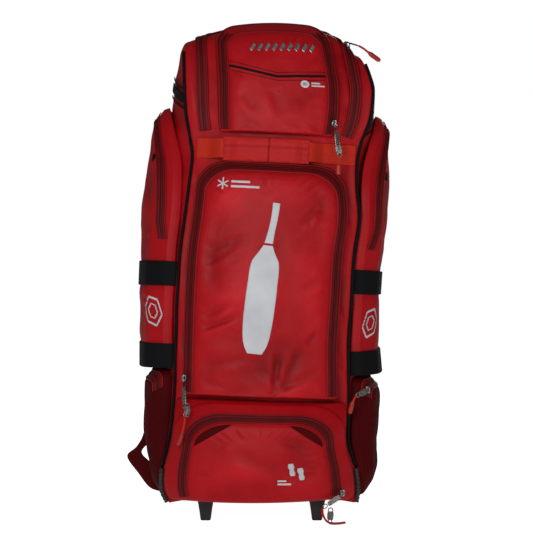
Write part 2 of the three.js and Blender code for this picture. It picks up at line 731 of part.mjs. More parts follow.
// A flat plate with rounded ends and a hole near its top, from one place to another
const plate = (from, to, facing, width, thickness, hole) => {
  const along = to.clone().sub(from);
  const length = along.length();
  along.normalize();
  const side = along.clone().cross(facing).normalize();
  const normal = side.clone().cross(along);
  const half = width / 2;
  const bevel = width / 4;
  const outline = new THREE.Shape([
    new THREE.Vector2(-half + bevel, 0), new THREE.Vector2(half - bevel, 0),
    new THREE.Vector2(half, bevel), new THREE.Vector2(half, length - bevel),
    new THREE.Vector2(half - bevel, length), new THREE.Vector2(-half + bevel, length),
    new THREE.Vector2(-half, length - bevel), new THREE.Vector2(-half, bevel),
  ]);
  outline.holes.push(new THREE.Path().absarc(0, bevel + hole, hole, 0, 2 * Math.PI, true));
  const geometry = new THREE.ExtrudeGeometry(outline, {
    depth: thickness, bevelEnabled: false, curveSegments: 4,
  });
  geometry.translate(0, 0, -thickness / 2);
  return geometry.applyMatrix4(new THREE.Matrix4().makeBasis(side, along, normal).setPosition(from));
};

const sliderBlock = (at, normal, along) => {
  const side = along.clone().cross(normal).normalize();
  const straight = normal.clone().cross(side).normalize();
  const half = slider.width / 2;
  const waist = 0.7;
  const outline = new THREE.Shape([
    new THREE.Vector2(-half * waist, -slider.length / 2),
    new THREE.Vector2(half * waist, -slider.length / 2),
    new THREE.Vector2(half, slider.length / 6), new THREE.Vector2(half * waist, slider.length / 2),
    new THREE.Vector2(-half * waist, slider.length / 2), new THREE.Vector2(-half, slider.length / 6),
  ]);
  const geometry = new THREE.ExtrudeGeometry(outline, { depth: slider.thickness, bevelEnabled: false });
  return geometry.applyMatrix4(new THREE.Matrix4().makeBasis(side, straight, normal).setPosition(at));
};

const cordTube = (route) => {
  const path = new THREE.CatmullRomCurve3(route.map((p) => vector(...p)));
  const section = new THREE.Shape().absarc(0, 0, cordDiameter / 2, 0, 2 * Math.PI, false);
  return new THREE.ExtrudeGeometry(section, {
    extrudePath: path, steps: 4, curveSegments: 3, bevelEnabled: false,
  });
};

// Wheels and their housings at the rear corners
const wheelCentre = (x) => vector(x, bag.back - wheel.radius - housing.behind, wheel.radius);

const ringForm = (profile, segments, centre) => {
  const points = [...profile, profile[0]].map(([r, x]) => new THREE.Vector2(r, x));
  const geometry = new THREE.LatheGeometry(points, segments);
  return geometry.rotateZ(Math.PI / 2).translate(...centre.toArray());
};

const makeTyre = (x) => {
  const half = wheel.width / 2;
  const { radius, rim } = wheel;
  const shoulder = 5;
  return ringForm([
    [rim, -half], [radius - shoulder, -half], [radius, -half + shoulder],
    [radius, half - shoulder], [radius - shoulder, half], [rim, half],
  ], wheel.segments, wheelCentre(x));
};

const makeHub = (x) => {
  const half = wheel.width / 2;
  const web = wheel.web / 2;
  const outer = wheel.rim - gap;
  const bore = axle.radius + axle.running;
  const boss = bore + 4;
  return ringForm([
    [bore, -half], [boss, -half], [boss, -web], [outer - 4, -web], [outer - 4, -half], [outer, -half],
    [outer, half], [outer - 4, half], [outer - 4, web], [boss, web], [boss, half], [bore, half],
  ], wheel.segments, wheelCentre(x));
};

const makeHousing = (x) => {
  const { cheek, clearance, height, depth, behind, lowest } = housing;
  const slotWidth = wheel.width + 2 * clearance;
  const centre = wheelCentre(x);
  const front = bag.back - depth;
  const across = slotWidth + 2 * cheek;
  const outer = block(across, depth, height - lowest, x, front + depth / 2, (height + lowest) / 2);
  const well = new THREE.CylinderGeometry(wheel.radius + 6, wheel.radius + 6, slotWidth, 20)
    .rotateZ(Math.PI / 2).translate(...centre.toArray());
  const away = 2 * wheel.radius;
  const below = block(slotWidth, 2 * (wheel.radius + 6), away, x, centre.y, centre.z - away / 2);
  const backward = block(slotWidth, away, wheel.radius + 6 + centre.z, x, centre.y + away / 2,
    (wheel.radius + 6 + centre.z) / 2);
  const pin = new THREE.CylinderGeometry(axle.radius, axle.radius, slotWidth + cheek, 16)
    .rotateZ(Math.PI / 2).translate(...centre.toArray());
  return joined(cut(outer, well, below, backward), pin);
};

// A foot is a tapered post, cut off just under the body and the shoe pocket
const makeFoot = (x, shoe) => {
  const [bottomX, bottomY] = foot.bottom;
  const [topX, topY] = foot.top;
  const ring = (width, depth, z) => [[-1, -1], [1, -1], [1, 1], [-1, 1]].map(([sx, sy]) => {
    return vector(x + (sx * width) / 2, -foot.depth + (sy * depth) / 2, z);
  });
  const { flare, height } = foot;
  const post = loft([
    ring(bottomX, bottomY, 0),
    ring(lerp(bottomX, topX, 0.5), lerp(bottomY, topY, 0.5), height - 2 * flare),
    ring(topX, topY, height - flare),
    ring(topX, topY, height),
  ]);
  return cut(post, shell(0).translate(0, 0, -gap), loft(shoe.rings).translate(0, 0, -gap));
};

// Backpack straps on the back panel; across is measured there from right to left
const strapSide = { left: 1, right: -1 };
const backPlace = (side, across, up) => [0.5 + strapSide[side] * across * 0.5, up];

const makePad = (side) => {
  const steps = 8;
  const path = range(steps + 1, (i) => {
    const share = i / steps;
    const bow = 0.06 * Math.sin(Math.PI * share);
    return backPlace(side, lerp(pad.inner, pad.outer, share) - bow, lerp(pad.low, pad.high, share));
  });
  return ribbon(walls.back, path, pad.width, seat, seat + pad.thickness, 2);
};

const makeBuckle = (side) => {
  const share = buckle.height / bag.height;
  const high = pad.low - buckle.drop / bag.height;
  const path = range(3, (i) => backPlace(side, pad.inner, high - share + (share * i) / 2));
  return ribbon(walls.back, path, buckle.width, 2 * gap, 2 * gap + buckle.thickness);
};

const strapTop = () => pad.low - (buckle.height + 2.5 * buckle.drop) / bag.height;

const makeStrapWeb = (side) => {
  const steps = 8;
  const path = range(steps + 1, (i) => {
    const share = i / steps;
    return backPlace(side, lerp(pad.inner, 0.7, share), lerp(strapTop(), strapWeb.corner, share));
  });
  return ribbon(walls.back, path, strapWeb.width, seat, seat + strapWeb.thickness);
};

// The left webbing leaves the back panel and stands out beside the bag as a loose loop
const makeStrapLoop = () => {
  const [across, up] = backPlace("left", pad.inner, strapTop());
  const start = walls.back(across, up);
  start.addScaledVector(outward(walls.back, across, up), 2 * gap + webbing / 2);
  const places = strapLoop.places.map(([x, y, share]) => vector(x, y, share * bag.height));
  const line = new THREE.CatmullRomCurve3([start, ...places]);
  const side = vector(...strapLoop.across).normalize();
  const steps = 20;
  const rings = range(steps + 1, (i) => {
    const share = i / steps;
    const normal = line.getTangent(share).cross(side).normalize();
    return [[-1, -1], [1, -1], [1, 1], [-1, 1]].map(([s, n]) => line.getPoint(share)
      .addScaledVector(side, (s * strapWeb.width) / 2)
      .addScaledVector(normal, (n * strapWeb.thickness) / 2));
  });
  return loft(rings);
};

const group = new THREE.Group();
const addPiece = (name, geometry, look) => {
  const piece = new THREE.Mesh(geometry, new THREE.MeshStandardMaterial(finish[look]));
  piece.name = name;
  group.add(piece);
  return piece;
};

addPiece("main_body", makeBody(), "cloth");
addPiece("main_zip", ribbon(
  walls.front, mainZipPath(), zip.tape, mainZip.seat, mainZip.seat + tape,
), "zip");

const forms = {};
for (const name of ["helmet", "cool", "shoe"]) {
  forms[name] = pocketForm(walls.front, pockets[name]);
  addPiece(name + "_pocket", pocketShell(forms[name]), "cloth");
  addPiece(name + "_zip", pocketZip(forms[name]), "zip");
}

const chevronPlace = ([a, b]) => {
  const { across, up } = pockets.helmet;
  const t = (b + 1) / 2;
  return [lerp(lerp(across[0], across[1], t), lerp(across[2], across[3], t), (a + 1) / 2), lerp(...up, t)];
};
const chevronPath = () => {
  const [left, middle, right] = [chevron.left, chevron.middle, chevron.right].map(chevronPlace);
  const blend = (from, to, share) => [lerp(from[0], to[0], share), lerp(from[1], to[1], share)];
  const half = range(4, (i) => blend(left, middle, i / 4));
  return [...half, ...range(5, (i) => blend(middle, right, i / 4))];
};
const helmetLift = (u, up) => pocketHeight(forms.helmet, u, up);
addPiece("chevron_piping", ribbon(
  walls.front, chevronPath(), chevron.width, seat, seat + chevron.thickness, 1, helmetLift,
), "black");

for (const side of ["left", "right"]) {
  const upper = pocketForm(walls[side], pockets.side);
  const lower = pocketForm(walls[side], pockets.lower);
  forms["side_" + side] = upper;
  forms["lower_" + side] = lower;
  addPiece("side_pocket_" + side, pocketShell(upper), "cloth");
  addPiece("side_zip_" + side, pocketZip(upper), "zip");
  addPiece("lower_pocket_" + side, pocketShell(lower), "mesh");
  addPiece("lower_zip_" + side, pocketZip(lower), "zip");
  const belt = (up) => sideBand(upper, up, band.width, sideStart, band.reach);
  addPiece("band_upper_" + side, belt(band.upper), "black");
  addPiece("band_lower_" + side, belt(band.lower), "black");
  const reach = side === "left" ? trim.reach : trim.reach / 2;
  const slant = trim.slope / trim.reach;
  const trimPath = range(5, (i) => {
    const along = ((reach - sideStart) * i) / 4;
    return [sideStart + along, trim[side] + slant * along];
  });
  addPiece("trim_" + side, ribbon(walls[side], trimPath, trim.width, gap, gap + webbing), "black");
  addPiece("tab_" + side, makeTab(upper, tab[side]), "black");
  const rows = bodyRows.filter((up) => up > piping.low && up < piping.high);
  addPiece("piping_" + side, cornerTube(side, rows, piping.radius, 0, 6, piping.stand), "black");
  const ribs = Math.round(((guard.high - guard.low) * bag.height) / guard.pitch) * 2;
  const levels = range(ribs + 1, (i) => lerp(guard.low, guard.high, i / ribs));
  const edging = cornerTube(side, levels, guard.radius, guard.rib, 6, guard.stand);
  addPiece("corner_guard_" + side, edging, "grey");
  addPiece("foot_" + side, makeFoot(foot[side], forms.shoe), "plastic");
  addPiece("wheel_housing_" + side, makeHousing(wheelPlace[side]), "plastic");
  addPiece("tyre_" + side, makeTyre(wheelPlace[side]), "rubber");
  addPiece("hub_" + side, makeHub(wheelPlace[side]), "plastic");
  addPiece("shoulder_pad_" + side, makePad(side), "cloth");
  addPiece("strap_buckle_" + side, makeBuckle(side), "plastic");
  addPiece("strap_web_" + side, side === "left" ? makeStrapLoop() : makeStrapWeb(side), "strap");
}

addPiece("handle_band", handleStrip(
  handle.left, handle.right, 18, handle.width, seat, seat + webbing,
), "orange");
addPiece("handle_grip", makeGrip(), "cloth");

// Zip ends. Each slider sits on its zip, and its pull reaches from there to the cord's first point. k is
// the place along the pocket's outline; the main zip's slider has a place on the front wall instead. rise
// is the pull's clearance over the slider.
const zipEnds = {
  cool: { form: forms.cool, k: 22.85, rise: 0.6 },
  helmet: { form: forms.helmet, k: 4.35, rise: 0.6, ring: 0.8 },
  side: { form: forms.lower_right, k: 17.8, rise: 0.9, ring: 1.6 },
  shoe: { form: forms.shoe, k: 4.12, rise: 3, ring: 2.1 },
  main: { place: [mainZip.right, 0.984], rise: 0.6 },
};
const sliderSeat = ({ form, k, place }) => {
  if (form) {
    const { near, far } = form.pocket.zip;
    const found = onRings(form, k, 1 + (near + far) / 2);
    return { ...found, height: form.pocket.zip.seat + tape + gap };
  }
  const normal = outward(walls.front, ...place);
  return { at: walls.front(...place), normal, height: mainZip.seat + tape + gap };
};
for (const [name, end] of Object.entries(zipEnds)) {
  const { at, normal, height } = sliderSeat(end);
  const base = at.clone().addScaledVector(normal, height);
  addPiece(name + "_slider", sliderBlock(base, normal, vector(0, 0, 1)), "metal");
  const cord = vector(...cordRoutes[name][0]);
  const lift = slider.thickness + pull.thickness / 2 + end.rise;
  const from = base.clone().addScaledVector(normal, lift);
  const away = from.clone().sub(cord).normalize();
  const to = cord.clone().addScaledVector(away, end.ring ?? pull.ring);
  addPiece(name + "_pull", plate(from, to, normal.clone(), pull.width, pull.thickness, pull.hole), "metal");
  addPiece(name + "_cord", cordTube(cordRoutes[name]), "orange");
}

// The origin goes under the middle of the bag, without its loose cords
const box = new THREE.Box3();
const standing = group.children.filter((piece) => !piece.name.endsWith("_cord"));
standing.forEach((piece) => box.expandByObject(piece));
const middle = box.getCenter(vector(0, 0, 0));
group.position.set(-middle.x, -middle.y, -box.min.z);

export default group;
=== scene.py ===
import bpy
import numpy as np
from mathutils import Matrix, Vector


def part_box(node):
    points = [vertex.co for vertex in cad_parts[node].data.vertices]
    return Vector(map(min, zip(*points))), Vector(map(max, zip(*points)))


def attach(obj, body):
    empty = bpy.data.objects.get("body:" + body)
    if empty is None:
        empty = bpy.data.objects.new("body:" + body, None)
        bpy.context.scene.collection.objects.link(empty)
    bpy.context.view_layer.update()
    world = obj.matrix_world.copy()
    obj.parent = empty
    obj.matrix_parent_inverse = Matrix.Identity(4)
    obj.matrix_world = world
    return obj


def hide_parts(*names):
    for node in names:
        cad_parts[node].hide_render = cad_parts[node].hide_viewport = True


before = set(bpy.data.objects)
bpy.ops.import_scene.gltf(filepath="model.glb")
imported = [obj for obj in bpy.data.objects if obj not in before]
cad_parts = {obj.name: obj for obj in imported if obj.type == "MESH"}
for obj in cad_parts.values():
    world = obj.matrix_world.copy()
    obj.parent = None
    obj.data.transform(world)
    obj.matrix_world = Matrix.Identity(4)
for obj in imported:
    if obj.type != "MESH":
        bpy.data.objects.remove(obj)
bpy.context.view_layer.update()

# %% [markdown]
# A wheeled sports bag stands on end, packed full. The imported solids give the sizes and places, and every
# soft piece is made again here as a fine surface, because cloth shows its folds, seams and weave. Each
# shape is a function of two parameters, worked out for a whole grid at once with numpy.

MM = 0.001
FOOT_X = {"left": -118, "right": 98}
FOOT_Y = -124
WHEEL_X = {"left": -166, "right": 146}
foot_low, foot_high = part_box("foot_left")
SHIFT = np.array([(foot_low.x + foot_high.x) / 2 - FOOT_X["left"] * MM,
                  (foot_low.y + foot_high.y) / 2 - FOOT_Y * MM, 0.0])


def to_frame(points):
    """Millimetres round the bag's own middle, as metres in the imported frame: p / 1000 + shift."""
    return np.asarray(points, float) * MM + SHIFT


# %% [markdown]
# The camera stands level in front of the bag, about three metres away, with a long lens, as a catalogue
# photographer would place it. A long lens keeps the sides nearly parallel.

# %% Camera
CAMERA_DISTANCE, CAMERA_HEIGHT = 3000, 491.6
camera_data = bpy.data.cameras.new("camera")
camera_data.lens = 100
camera_data.sensor_width = 36
camera = bpy.data.objects.new("camera", camera_data)
camera.location = to_frame([0, -CAMERA_DISTANCE, CAMERA_HEIGHT])
camera.rotation_euler = (np.pi / 2, 0, 0)
bpy.context.scene.collection.objects.link(camera)
bpy.context.scene.camera = camera
print("camera", CAMERA_DISTANCE, "mm in front of the bag")

# %% [markdown]
# A material is a small tree of nodes. One function turns the sRGB hex values that a colour picker shows
# into the linear numbers that the shader wants, and one adds a node and wires it.

# %% Colour and node helpers


def srgb(value):
    """Linear RGBA of an sRGB hex colour: ((c + 0.055) / 1.055) ** 2.4, or c / 12.92 in the darkest part."""
    c = np.array([int(value[i:i + 2], 16) / 255 for i in (0, 2, 4)])
    linear = np.where(c > 0.04045, ((c + 0.055) / 1.055) ** 2.4, c / 12.92)
    return (*linear.tolist(), 1.0)


def add(tree, kind, inputs=None, **settings):
    """Adds one node, gives it its settings, and sets or links its inputs."""
    node = tree.nodes.new(kind)
    for name, value in settings.items():
        setattr(node, name, value)
    for key, value in (inputs or {}).items():
        if isinstance(value, bpy.types.NodeSocket):
            tree.links.new(value, node.inputs[key])
        else:
            node.inputs[key].default_value = value
    return node


def blank_material(name):
    """A material with an empty tree, its Principled shader and its output."""
    material = bpy.data.materials.new(name)
    material.use_nodes = True
    tree = material.node_tree
    tree.nodes.clear()
    shader = add(tree, "ShaderNodeBsdfPrincipled")
    add(tree, "ShaderNodeOutputMaterial", {"Surface": shader.outputs[0]})
    return material, tree, shader


def link(tree, source, shader, name):
    tree.links.new(source, shader.inputs[name])


def ramp_of(tree, factor, stops):
    """A colour ramp through (place, hex) stops."""
    node = add(tree, "ShaderNodeValToRGB", {"Fac": factor})
    elements = node.color_ramp.elements
    while len(elements) < len(stops):
        elements.new(0.5)
    for element, (place, value) in zip(elements, stops):
        element.position = place
        element.color = srgb(value)
    return node.outputs["Color"]


# %% [markdown]
# Cloth is a weave of warp and weft. Its UV map is laid in metres, so a thread is as wide everywhere. The
# real threads are about 0.5 mm, finer than a pixel of the picture, so they are drawn 1.1 mm wide to show
# as a faint grain. An attribute on each piece is painted shade: dark in the creases, lighter on the ridges.

# %% Woven cloth and webbing materials


def scale_of(size_mm):
    """Scale of a noise or cell pattern on coordinates in metres, from the size of its features."""
    return 1 / (size_mm * MM)


def band_scale(width_mm):
    """Scale of a Wave texture, which turns 20 radians in one unit: a band and its gap are both this wide."""
    return 1 / (width_mm * MM) / 20 * np.pi


def weave_height(tree, warp_mm, weft_mm):
    """Height of a plain weave: the product of two sine bands, one for each thread."""
    uv = add(tree, "ShaderNodeUVMap", uv_map="UVMap").outputs[0]
    bands = []
    for direction, size in (("X", warp_mm), ("Y", weft_mm)):
        wave = add(tree, "ShaderNodeTexWave", {"Vector": uv, "Scale": band_scale(size)},
                   wave_type="BANDS", bands_direction=direction)
        bands.append(wave.outputs["Fac"])
    return add(tree, "ShaderNodeMath", {0: bands[0], 1: bands[1]}, operation="MULTIPLY").outputs[0]


def woven(name, low, mid, high, rough, sheen, warp_mm=1.1, weft_mm=1.1, bump=0.12, wear=0.24,
          wrinkle=2.0):
    """Woven cloth: the colour runs from painted shade in the creases (low) to painted light on the raised
    folds (high), with a cloudy wear.
    """
    material, tree, shader = blank_material(name)
    place = add(tree, "ShaderNodeTexCoord").outputs["Object"]
    cloud = add(tree, "ShaderNodeTexNoise",
                {"Vector": place, "Scale": scale_of(111), "Detail": 5.0}).outputs["Fac"]
    fine = add(tree, "ShaderNodeTexNoise",
                {"Vector": place, "Scale": scale_of(6.25), "Detail": 2.0}).outputs["Fac"]
    # Painted shade: this attribute darkens the creases and lightens the ridges
    fold_shade = add(tree, "ShaderNodeAttribute", attribute_name="fold_shade").outputs["Fac"]
    mix = add(tree, "ShaderNodeMath", {0: cloud, 1: wear, 2: fold_shade}, operation="MULTIPLY_ADD").outputs[0]
    mix = add(tree, "ShaderNodeMath", {0: fine, 1: 0.12, 2: mix}, operation="MULTIPLY_ADD").outputs[0]
    colour = ramp_of(tree, mix, [(0.22, low), (0.66, mid), (0.95, high)])
    link(tree, colour, shader, "Base Color")
    shine = add(tree, "ShaderNodeMapRange", {"Value": cloud, 3: rough - 0.06, 4: rough + 0.08}).outputs[0]
    link(tree, shine, shader, "Roughness")
    height = weave_height(tree, warp_mm, weft_mm)
    grain = add(tree, "ShaderNodeMath", {0: fine, 1: 0.6, 2: height}, operation="MULTIPLY_ADD").outputs[0]
    creased = add(tree, "ShaderNodeTexNoise", {"Vector": place, "Scale": scale_of(41.7), "Detail": 3.0,
                                              "Roughness": 0.55, "Distortion": 1.6}).outputs["Fac"]
    broad = add(tree, "ShaderNodeBump", {"Height": creased, "Strength": 0.3, "Distance": wrinkle * MM})
    normal = add(tree, "ShaderNodeBump", {"Height": grain, "Strength": bump, "Distance": 0.0006,
                                          "Normal": broad.outputs[0]})
    link(tree, normal.outputs[0], shader, "Normal")
    shader.inputs["Sheen Weight"].default_value = sheen
    shader.inputs["Sheen Roughness"].default_value = 0.4
    shader.inputs["Specular IOR Level"].default_value = 0.15
    return material


# The three colours of each woven cloth are painted shade in the creases, the cloth's own colour, and painted
# light on the raised folds
# Satin polyester, dyed and calendered, so it is smooth and a little shiny
red_polyester = woven("satin_polyester_red", "6c070c", "b21019", "d41e26", 0.46, 0.0)
# Webbing is woven of thick yarn, so its ribs show and it is duller than the cloth
black_webbing = woven("polypropylene_webbing_black", "040405", "0a090c", "151318", 0.72, 0.02, 2.4, 1.4, 0.5)
orange_webbing = woven("polyester_webbing_orange_red", "8c140c", "c32818", "da3826", 0.62, 0.03, 3.0, 1.6,
                       0.5)
maroon_webbing = woven("polyester_webbing_maroon", "2c0407", "5e0a0f", "7a1317", 0.68, 0.03, 3.0, 1.6, 0.5)
# Brushed polyester on the handle and the shoulder pads is raised a little, which softens its shine
handle_cloth = woven("brushed_polyester_red", "8a0d10", "bb1f20", "d02c2b", 0.62, 0.03, 1.4, 1.4, 0.25)
pad_cloth = woven("padded_polyester_red", "5a080c", "9c1016", "bb1a20", 0.6, 0.03, 1.6, 1.6, 0.3)
# Binding tape is a narrow plain weave, folded over raw edges and round piping
black_binding = woven("woven_binding_black", "030304", "08080a", "131215", 0.66, 0.02, 1.6, 1.6, 0.4)
print("cloth materials:", len(bpy.data.materials))

# %% [markdown]
# Zip tape is woven too, but what one sees is its stripes: the edges of two flaps and the closed teeth
# between them. The attribute "across" runs from 0 to 1 over the tape, and a ramp paints the stripes.

# %% Zip tape, mesh and plastic materials
TOOTH_MM = 2.2


def striped_tape(name, stops):
    """Tape whose colour follows the attribute across, with a fine rib along it for the teeth."""
    material, tree, shader = blank_material(name)
    across = add(tree, "ShaderNodeAttribute", attribute_name="across").outputs["Fac"]
    colour = ramp_of(tree, across, stops)
    place = add(tree, "ShaderNodeTexCoord").outputs["Object"]
    cloud = add(tree, "ShaderNodeTexNoise", {"Vector": place, "Scale": scale_of(33.3)}).outputs["Fac"]
    tone = add(tree, "ShaderNodeMapRange", {"Value": cloud, 3: 0.75, 4: 1.2}).outputs[0]
    mixed = add(tree, "ShaderNodeMix", {6: colour, 7: tone, 0: 1.0}, data_type="RGBA", blend_type="MULTIPLY")
    link(tree, mixed.outputs[2], shader, "Base Color")
    uv = add(tree, "ShaderNodeUVMap", uv_map="UVMap").outputs[0]
    teeth = add(tree, "ShaderNodeTexWave", {"Vector": uv, "Scale": band_scale(TOOTH_MM)},
                wave_type="BANDS", bands_direction="Y").outputs["Fac"]
    normal = add(tree, "ShaderNodeBump", {"Height": teeth, "Strength": 0.35, "Distance": 0.0006})
    link(tree, normal.outputs[0], shader, "Normal")
    shader.inputs["Roughness"].default_value = 0.55
    shader.inputs["Specular IOR Level"].default_value = 0.2
    return material


# Woven polyester tape: matt, with painted light on the flaps' raised edges, and painted shade in the dark
# lines of the grooves beside them and on both sides of the teeth
zip_stops = [(0.0, "8c0d13"), (0.1, "9a1017"), (0.13, "1c0406"), (0.19, "780a10"), (0.36, "7c0a10"),
             (0.4, "160304"), (0.44, "66080d"), (0.5, "4c0609"), (0.56, "66080d"), (0.6, "160304"),
             (0.64, "7c0a10"), (0.81, "780a10"), (0.87, "1c0406"), (0.9, "9a1017"), (1.0, "8c0d13")]
zip_tape = striped_tape("polyester_zip_tape_maroon", zip_stops)


def netting(name, low, high, cell_mm):
    """Knitted mesh over cloth: round holes on a staggered grid, with painted shade in the holes and in the
    creases.
    """
    material, tree, shader = blank_material(name)
    uv = add(tree, "ShaderNodeUVMap", uv_map="UVMap").outputs[0]
    cells = add(tree, "ShaderNodeTexVoronoi", {"Vector": uv, "Scale": scale_of(cell_mm), "Randomness": 0.15},
                voronoi_dimensions="2D").outputs["Distance"]
    place = add(tree, "ShaderNodeTexCoord").outputs["Object"]
    cloud = add(tree, "ShaderNodeTexNoise",
                {"Vector": place, "Scale": scale_of(143), "Detail": 4.0}).outputs["Fac"]
    fold_shade = add(tree, "ShaderNodeAttribute", attribute_name="fold_shade").outputs["Fac"]
    mix = add(tree, "ShaderNodeMath", {0: cells, 1: 0.45, 2: fold_shade}, operation="MULTIPLY_ADD").outputs[0]
    mix = add(tree, "ShaderNodeMath", {0: cloud, 1: 0.3, 2: mix}, operation="MULTIPLY_ADD").outputs[0]
    link(tree, ramp_of(tree, mix, [(0.45, low), (0.96, high)]), shader, "Base Color")
    normal = add(tree, "ShaderNodeBump", {"Height": cells, "Strength": 0.5, "Distance": 0.0008})
    link(tree, normal.outputs[0], shader, "Normal")
    shader.inputs["Roughness"].default_value = 0.75
    shader.inputs["Specular IOR Level"].default_value = 0.08
    return material


# Knitted polyester netting takes light into its holes, so it is dark and hardly shines. Its real cells of
# about 2 mm are drawn 3 mm wide and more, to show
dark_mesh = netting("knitted_mesh_maroon", "1c0204", "5c060b", 3.2)
corner_mesh = netting("knitted_mesh_dark", "140203", "5a080d", 3.6)


def moulded(name, dark, light, rough, grain_mm, bump=0.15):
    """Moulded plastic or rubber: a fine spark-eroded grain and slightly cloudy gloss."""
    material, tree, shader = blank_material(name)
    place = add(tree, "ShaderNodeTexCoord").outputs["Object"]
    grain = add(tree, "ShaderNodeTexNoise", {"Vector": place, "Scale": scale_of(grain_mm), "Detail": 3.0})
    cloud = add(tree, "ShaderNodeTexNoise",
                {"Vector": place, "Scale": scale_of(40), "Detail": 3.0}).outputs["Fac"]
    link(tree, ramp_of(tree, cloud, [(0.3, dark), (0.75, light)]), shader, "Base Color")
    shine = add(tree, "ShaderNodeMapRange", {"Value": cloud, 3: rough - 0.08, 4: rough + 0.1}).outputs[0]
    link(tree, shine, shader, "Roughness")
    normal = add(tree, "ShaderNodeBump", {"Height": grain.outputs["Fac"], "Strength": bump,
                                          "Distance": 0.0004})
    link(tree, normal.outputs[0], shader, "Normal")
    return material


# Moulded plastics keep the mould's fine grain, so their shine is broad; rubber is duller still
black_plastic = moulded("moulded_polypropylene_black", "0c0c0f", "1c1b20", 0.42, 1.2)
grey_plastic = moulded("moulded_tpu_edging_grey", "1a1a1d", "38383c", 0.5, 1.0)
wheel_rubber = moulded("moulded_rubber_black", "0b0b0b", "191919", 0.75, 0.8, 0.3)
cord_tip = moulded("moulded_pvc_orange_red", "9c1c10", "c9331d", 0.45, 1.0)


def plated(name, dark, light, rough):
    """Nickel-plated die-cast zinc: metallic, with a faint scratched variation in its gloss."""
    material, tree, shader = blank_material(name)
    place = add(tree, "ShaderNodeTexCoord").outputs["Object"]
    cloud = add(tree, "ShaderNodeTexNoise",
                {"Vector": place, "Scale": scale_of(3.33), "Detail": 3.0}).outputs["Fac"]
    link(tree, ramp_of(tree, cloud, [(0.3, dark), (0.7, light)]), shader, "Base Color")
    shine = add(tree, "ShaderNodeMapRange", {"Value": cloud, 3: rough - 0.08, 4: rough + 0.12}).outputs[0]
    link(tree, shine, shader, "Roughness")
    shader.inputs["Metallic"].default_value = 1.0
    return material


# Cast zinc is plated with nickel, bright on the sliders and darker on some pulls
nickel = plated("nickel_plated_zinc", "6b6a69", "c9c8c6", 0.26)
dark_nickel = plated("gunmetal_plated_zinc", "3c3a39", "8b8886", 0.3)
print_white = moulded("screen_print_ink_white", "c9cbd0", "dcdde2", 0.5, 1.5, 0.1)
print_silver = plated("raised_foil_silver", "9a9a9c", "e4e4e6", 0.35)
print("all materials:", len(bpy.data.materials))

# %% [markdown]
# The bag's wall is one function. A table gives the bag's half widths and depths at a few heights, a smooth
# curve runs through its rows, and a second parameter, turn, goes once round the bag.

# %% The wall of the bag
BAG = dict(height=912, lift=30, half=250, front=112, back=158, bulge=26, back_swell=8, crown=26, arch=20,
           drop=26, slump=8)
COLUMNS = ["at", "left", "right", "side_left", "side_right", "front", "back"]
SECTIONS = np.array([
    [0, 0.76, 0.688, 0.8, 0.72, 0.95, 0.93], [0.029, 0.804, 0.7, 0.832, 0.752, 1, 0.99],
    [0.077, 0.8, 0.68, 0.852, 0.768, 1, 1], [0.132, 0.752, 0.628, 0.852, 0.76, 1, 1],
    [0.193, 0.72, 0.632, 0.848, 0.76, 1, 1], [0.263, 0.704, 0.632, 0.848, 0.76, 1, 1],
    [0.344, 0.696, 0.628, 0.848, 0.736, 1, 1], [0.441, 0.684, 0.652, 0.844, 0.728, 1, 1],
    [0.537, 0.66, 0.672, 0.832, 0.752, 1, 1], [0.616, 0.62, 0.712, 0.82, 0.784, 1, 1],
    [0.68, 0.592, 0.696, 0.808, 0.816, 0.98, 1], [0.735, 0.57, 0.698, 0.794, 0.834, 0.94, 1],
    [0.78, 0.592, 0.73, 0.784, 0.85, 0.95, 1], [0.827, 0.62, 0.796, 0.776, 0.864, 0.97, 1],
    [0.888, 0.632, 0.824, 0.76, 0.872, 0.95, 1], [0.932, 0.636, 0.8, 0.736, 0.848, 0.9, 0.98],
    [0.965, 0.64, 0.768, 0.712, 0.816, 0.82, 0.94], [0.984, 0.64, 0.742, 0.688, 0.78, 0.7, 0.84],
    [0.996, 0.626, 0.7, 0.656, 0.73, 0.46, 0.62], [1, 0.55, 0.62, 0.57, 0.64, 0.16, 0.3]])


def lerp(a, b, t):
    """A value between a and b: a + (b - a) t."""
    return a + (b - a) * t


def smooth(x, low, high):
    """Smoothstep: 3 t^2 - 2 t^3 with t = (x - low) / (high - low), held between 0 and 1."""
    t = np.clip((x - low) / (high - low), 0, 1)
    return t * t * (3 - 2 * t)


def column(name, up):
    """A column of the table at a share of the height: a Hermite curve with its neighbours' slopes."""
    rows, values = SECTIONS[:, 0], SECTIONS[:, COLUMNS.index(name)]
    i = np.clip(np.searchsorted(rows, up, side="right") - 1, 0, len(rows) - 2)
    before, after = np.maximum(i - 1, 0), np.minimum(i + 2, len(rows) - 1)
    span = rows[i + 1] - rows[i]
    t = np.clip((up - rows[i]) / span, 0, 1)
    slope_a = (values[i + 1] - values[before]) / (rows[i + 1] - rows[before]) * span
    slope_b = (values[after] - values[i]) / (rows[after] - rows[i]) * span
    start = (2 * t**3 - 3 * t**2 + 1) * values[i] + (t**3 - 2 * t**2 + t) * slope_a
    return start + (3 * t**2 - 2 * t**3) * values[i + 1] + (t**3 - t**2) * slope_b


def side_swell(w):
    """How far a side wall swells from its front corner (0) to its back corner (1)."""
    return np.where(w < 0.5, 1 - np.abs(1 - 2 * w) ** 2.4, 1 - 0.5 * np.abs(2 * w - 1) ** 3)


